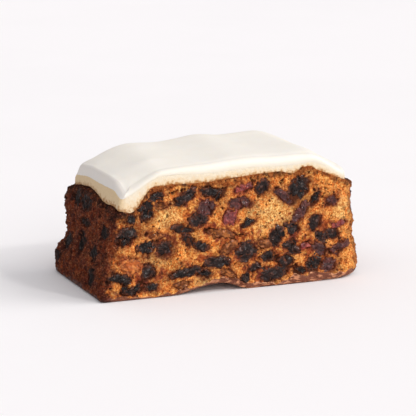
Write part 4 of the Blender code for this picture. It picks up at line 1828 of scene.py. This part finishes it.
@dataclass
class Sheet:
    """A sheet on top of the bar: a block of cells between a lower and an upper face, with a cut rim."""

    form: BarForm
    name: str
    finish: Finish
    cells: tuple[int, int, int]
    wave_size: float
    wave_depth: float
    grain_size: float
    grain_depth: float
    sharp_at: tuple[float, ...]
    off_rims: float = 3.0
    left_shade_reach: tuple[float, float] = (0.5, 5.0)

    def place(self, u: float, v: float, w: float) -> Vector:
        """Finds a point of the sheet for u and v from -1 to 1 and w from 0 below to 1 above."""
        raise NotImplementedError

    def shell(self) -> tuple[list[tuple[float, float, float]], list[tuple[int, ...]]]:
        """The six faces of the block as cells.

        Returns:
            The corners, with u and v from -1 to 1 and w from 0 to 1, and the quads between them.
        """
        numbers: dict[tuple[int, ...], int] = {}
        faces = []
        for axis in range(3):
            first, second = (axis + 1) % 3, (axis + 2) % 3
            steps = range(self.cells[first]), range(self.cells[second])
            for end, row, column in itertools.product((0, self.cells[axis]), *steps):
                quad = []
                for down, right in ((0, 0), (1, 0), (1, 1), (0, 1)):
                    corner = [0, 0, 0]
                    corner[axis], corner[first], corner[second] = end, row + down, column + right
                    quad.append(numbers.setdefault(tuple(corner), len(numbers)))
                faces.append(tuple(quad if end else reversed(quad)))
        long, deep, high = self.cells
        return [(2.0 * x / long - 1.0, 2.0 * y / deep - 1.0, z / high) for x, y, z in numbers], faces

    def from_left(self, u: float, v: float) -> float:
        """How far a point lies from the left end, and off_rims more if it is on neither near rim."""
        off_rims = self.off_rims * min(1.0, (v + 1.0) * 400.0) * (u > -OUTER)
        return (u + 1.0) * self.form.half_length + off_rims

    def build(self, tree: bpy.types.NodeTree) -> bpy.types.Object:
        """Makes the sheet and its relief.

        Args:
            tree: the relief's tree.

        Returns:
            The piece.
        """
        corners, faces = self.shell()
        mesh = mesh_of(self.name, (self.place(*corner) for corner in corners), faces)
        on_rim = [max(abs(u), abs(v)) > OUTER for u, v, _ in corners]
        flat = [rim and w in self.sharp_at for rim, (_, _, w) in zip(on_rim, corners)]
        sharp = mesh.attributes.new("sharp_edge", "BOOLEAN", "EDGE")
        sharp.data.foreach_set("value", [all(flat[end] for end in edge.vertices) for edge in mesh.edges])
        # Painted shade on the sheet's left end.
        dusk = fade_all(*self.left_shade_reach, np.array([self.from_left(u, v) for u, v, _ in corners]))
        store(mesh, {"height": [w for _, _, w in corners], "dusk": dusk, "cut": on_rim})
        values = {**in_metres(self, SHEET_SIZES), "Finish": self.finish.material()}
        return make_piece(f"{self.name}_sheet", mesh, tree, values, self.name)


@dataclass
class MarzipanSheet(Sheet):
    """The almond paste, which bulges a little out of the cut."""

    name: str = "marzipan"
    finish: Finish = MarzipanFinish()
    cells: tuple[int, int, int] = (180, 90, 8)
    wave_size: float = 3.0
    wave_depth: float = 0.25
    grain_size: float = 0.9
    grain_depth: float = 0.35
    sharp_at: tuple[float, ...] = (0.0, 1.0)
    bulge: float = 0.35
    lean: float = 0.9

    def place(self, u: float, v: float, w: float) -> Vector:
        """Finds a point between the cake's top and the icing, with a bulging rim.

        Args:
            u: place along the bar, from -1 to 1.
            v: place across it, from -1 to 1.
            w: place between the lower face, 0, and the upper one, 1.

        Returns:
            The point.
        """
        at_left = fade(-1.0, -0.94, u)
        x, y = self.form.sheet_plan(u, v, -self.bulge * math.sin(math.pi * w) * at_left)
        flat = self.form.sheet_plan(u, v)
        low, high = self.form.cake_level(*flat), self.form.sheet_level(*flat)
        return Vector((x - self.lean * (1.0 - w) * at_left, y, low + (high - low) * w))


@dataclass
class IcingSheet(Sheet):
    """The white icing, whose rim rolls over from the side to the top."""

    name: str = "icing"
    finish: Finish = IcingFinish()
    cells: tuple[int, int, int] = (150, 80, 10)
    wave_size: float = 13.0
    wave_depth: float = 0.5
    grain_size: float = 2.0
    grain_depth: float = 0.05
    sharp_at: tuple[float, ...] = (0.0,)
    edge_radius: float = 3.8
    lean: float = 1.8
    gap: float = 0.3
    roll_off: float = 2.0

    def place(self, u: float, v: float, w: float) -> Vector:
        """Finds a point over the marzipan, with a rounded upper edge.

        Args:
            u: place along the bar, from -1 to 1.
            v: place across it, from -1 to 1.
            w: place between the lower face, 0, and the upper one, 1.

        Returns:
            The point.
        """
        form, at_left = self.form, fade(-1.0, -0.94, u)
        radius = self.edge_radius * (1.0 - 0.6 * at_left)
        straight = 1.0 - radius / form.icing_thickness
        turn = max(w - straight, 0.0) / (1.0 - straight)
        inset = radius * (1.0 - math.sqrt(max(1.0 - turn**2, 0.0))) * (0.8 - 0.3 * at_left)
        x, y = form.sheet_plan(u, v, inset)
        roll = self.roll_off * smooth(0.40, 1.0, -v) * (fade(-0.80, -0.10, u) + 0.7 * smooth(0.50, 0.85, u))
        rim = 0.4 * smooth(0.88, 1.0, max(abs(u), abs(v)))
        thickness = self.gap + form.icing_thickness - rim - roll
        return Vector((x + self.lean * w * at_left, y, form.sheet_level(x, y) + thickness * w))


@dataclass(frozen=True)
class Lamp:
    """A broad soft lamp far away: its direction, its width in degrees and its strength."""

    name: str
    azimuth: float
    elevation: float
    width: float
    strength: float
    colour: Colour = (1.0, 0.975, 0.95)


@dataclass
class Studio:
    """Floor, light and camera, set like the photograph's."""

    azimuth: float = -21.6
    elevation: float = 12.8
    distance: float = 1057.7
    lens: float = 190.4
    sensor: float = 36.0
    sight: float = 20000.0
    target: tuple[float, float, float] = (1.6, 5.4, 30.7)
    floor_half_width: float = 6000.0
    surround: Colour = (0.545, 0.540, 0.556)
    lamps: tuple[Lamp, ...] = (
        Lamp("key", 72.0, 38.0, 38.0, 1.26),
        Lamp("fill", 5.0, 22.0, 70.0, 1.42),
        Lamp("glint", 38.0, 40.0, 6.0, 0.50),
    )

    def hang(
        self, data: bpy.types.ID, towards: tuple[float, float], distance: float, middle: Vector
    ) -> bpy.types.Object:
        """Sets a camera or a lamp so that it looks at the cake.

        Args:
            data: the camera or the lamp.
            towards: its degrees from the front and from the floor.
            distance: how far from the middle it is.
            middle: what it looks at.

        Returns:
            The object that holds it.
        """
        turn, rise = math.radians(towards[0]), math.radians(towards[1])
        away = Vector((math.sin(turn) * math.cos(rise), -math.cos(turn) * math.cos(rise), math.sin(rise)))
        holder = bpy.data.objects.new(data.name, data)
        holder.location = (middle + away * distance) * MM
        holder.rotation_euler = away.to_track_quat("Z", "Y").to_euler()
        bpy.context.scene.collection.objects.link(holder)
        return holder

    def build_camera(self) -> None:
        """A long lens at the photograph's angle."""
        camera = bpy.data.cameras.new("camera")
        camera.lens, camera.sensor_width, camera.clip_end = self.lens, self.sensor, self.sight * MM
        angles = (self.azimuth, self.elevation)
        bpy.context.scene.camera = self.hang(camera, angles, self.distance, Vector(self.target))

    def build_floor(self) -> None:
        """One large pale plane."""
        width = 2.0 * self.floor_half_width * MM
        bpy.ops.mesh.primitive_grid_add(x_subdivisions=4, y_subdivisions=4, size=width)
        floor = bpy.context.object
        floor.name = "floor"
        floor.data.materials.append(FloorFinish().material())

    def build_light(self) -> None:
        """The broad soft lamps, in a bright white room."""
        for lamp in self.lamps:
            light = bpy.data.lights.new(lamp.name, "SUN")
            light.angle, light.energy, light.color = math.radians(lamp.width), lamp.strength, lamp.colour
            self.hang(light, (lamp.azimuth, lamp.elevation), 1.0 / MM, Vector())
        world = bpy.context.scene.world or bpy.data.worlds.new("room")
        bpy.context.scene.world = world
        world.use_nodes = True
        room = {"Color": self.surround, "Strength": 1.0}
        NodeBench(world.node_tree).feed(world.node_tree.nodes["Background"].inputs, room)

    def build(self) -> None:
        """Sets up everything round the cake, and plain tones for the picture."""
        self.build_camera()
        self.build_floor()
        self.build_light()
        bpy.context.scene.view_settings.view_transform = "Standard"
        bpy.context.scene.view_settings.look = "None"


def report(piece: bpy.types.Object) -> None:
    """Logs a piece and how many faces it has."""
    log.info("%s: %d faces", piece.name, len(piece.data.polygons))


def main() -> None:
    """Builds the cake piece by piece, then the studio."""
    logging.basicConfig(level=logging.INFO, format="%(name)s: %(message)s")
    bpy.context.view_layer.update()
    fruit = FruitPlan(FORM).everything()
    crumb = CrumbBar(FORM, fruit).build()
    report(crumb)
    report(LooseGrains().build(crumb))
    pieces = FruitPieces(fruit, set_fruit_tree())
    for kind in Kind:
        report(pieces.build(kind))
    relief = rolled_sheet_tree()
    for sheet in (MarzipanSheet(FORM), IcingSheet(FORM)):
        report(sheet.build(relief))
    Studio().build()


if __name__ == "__main__":
    main()
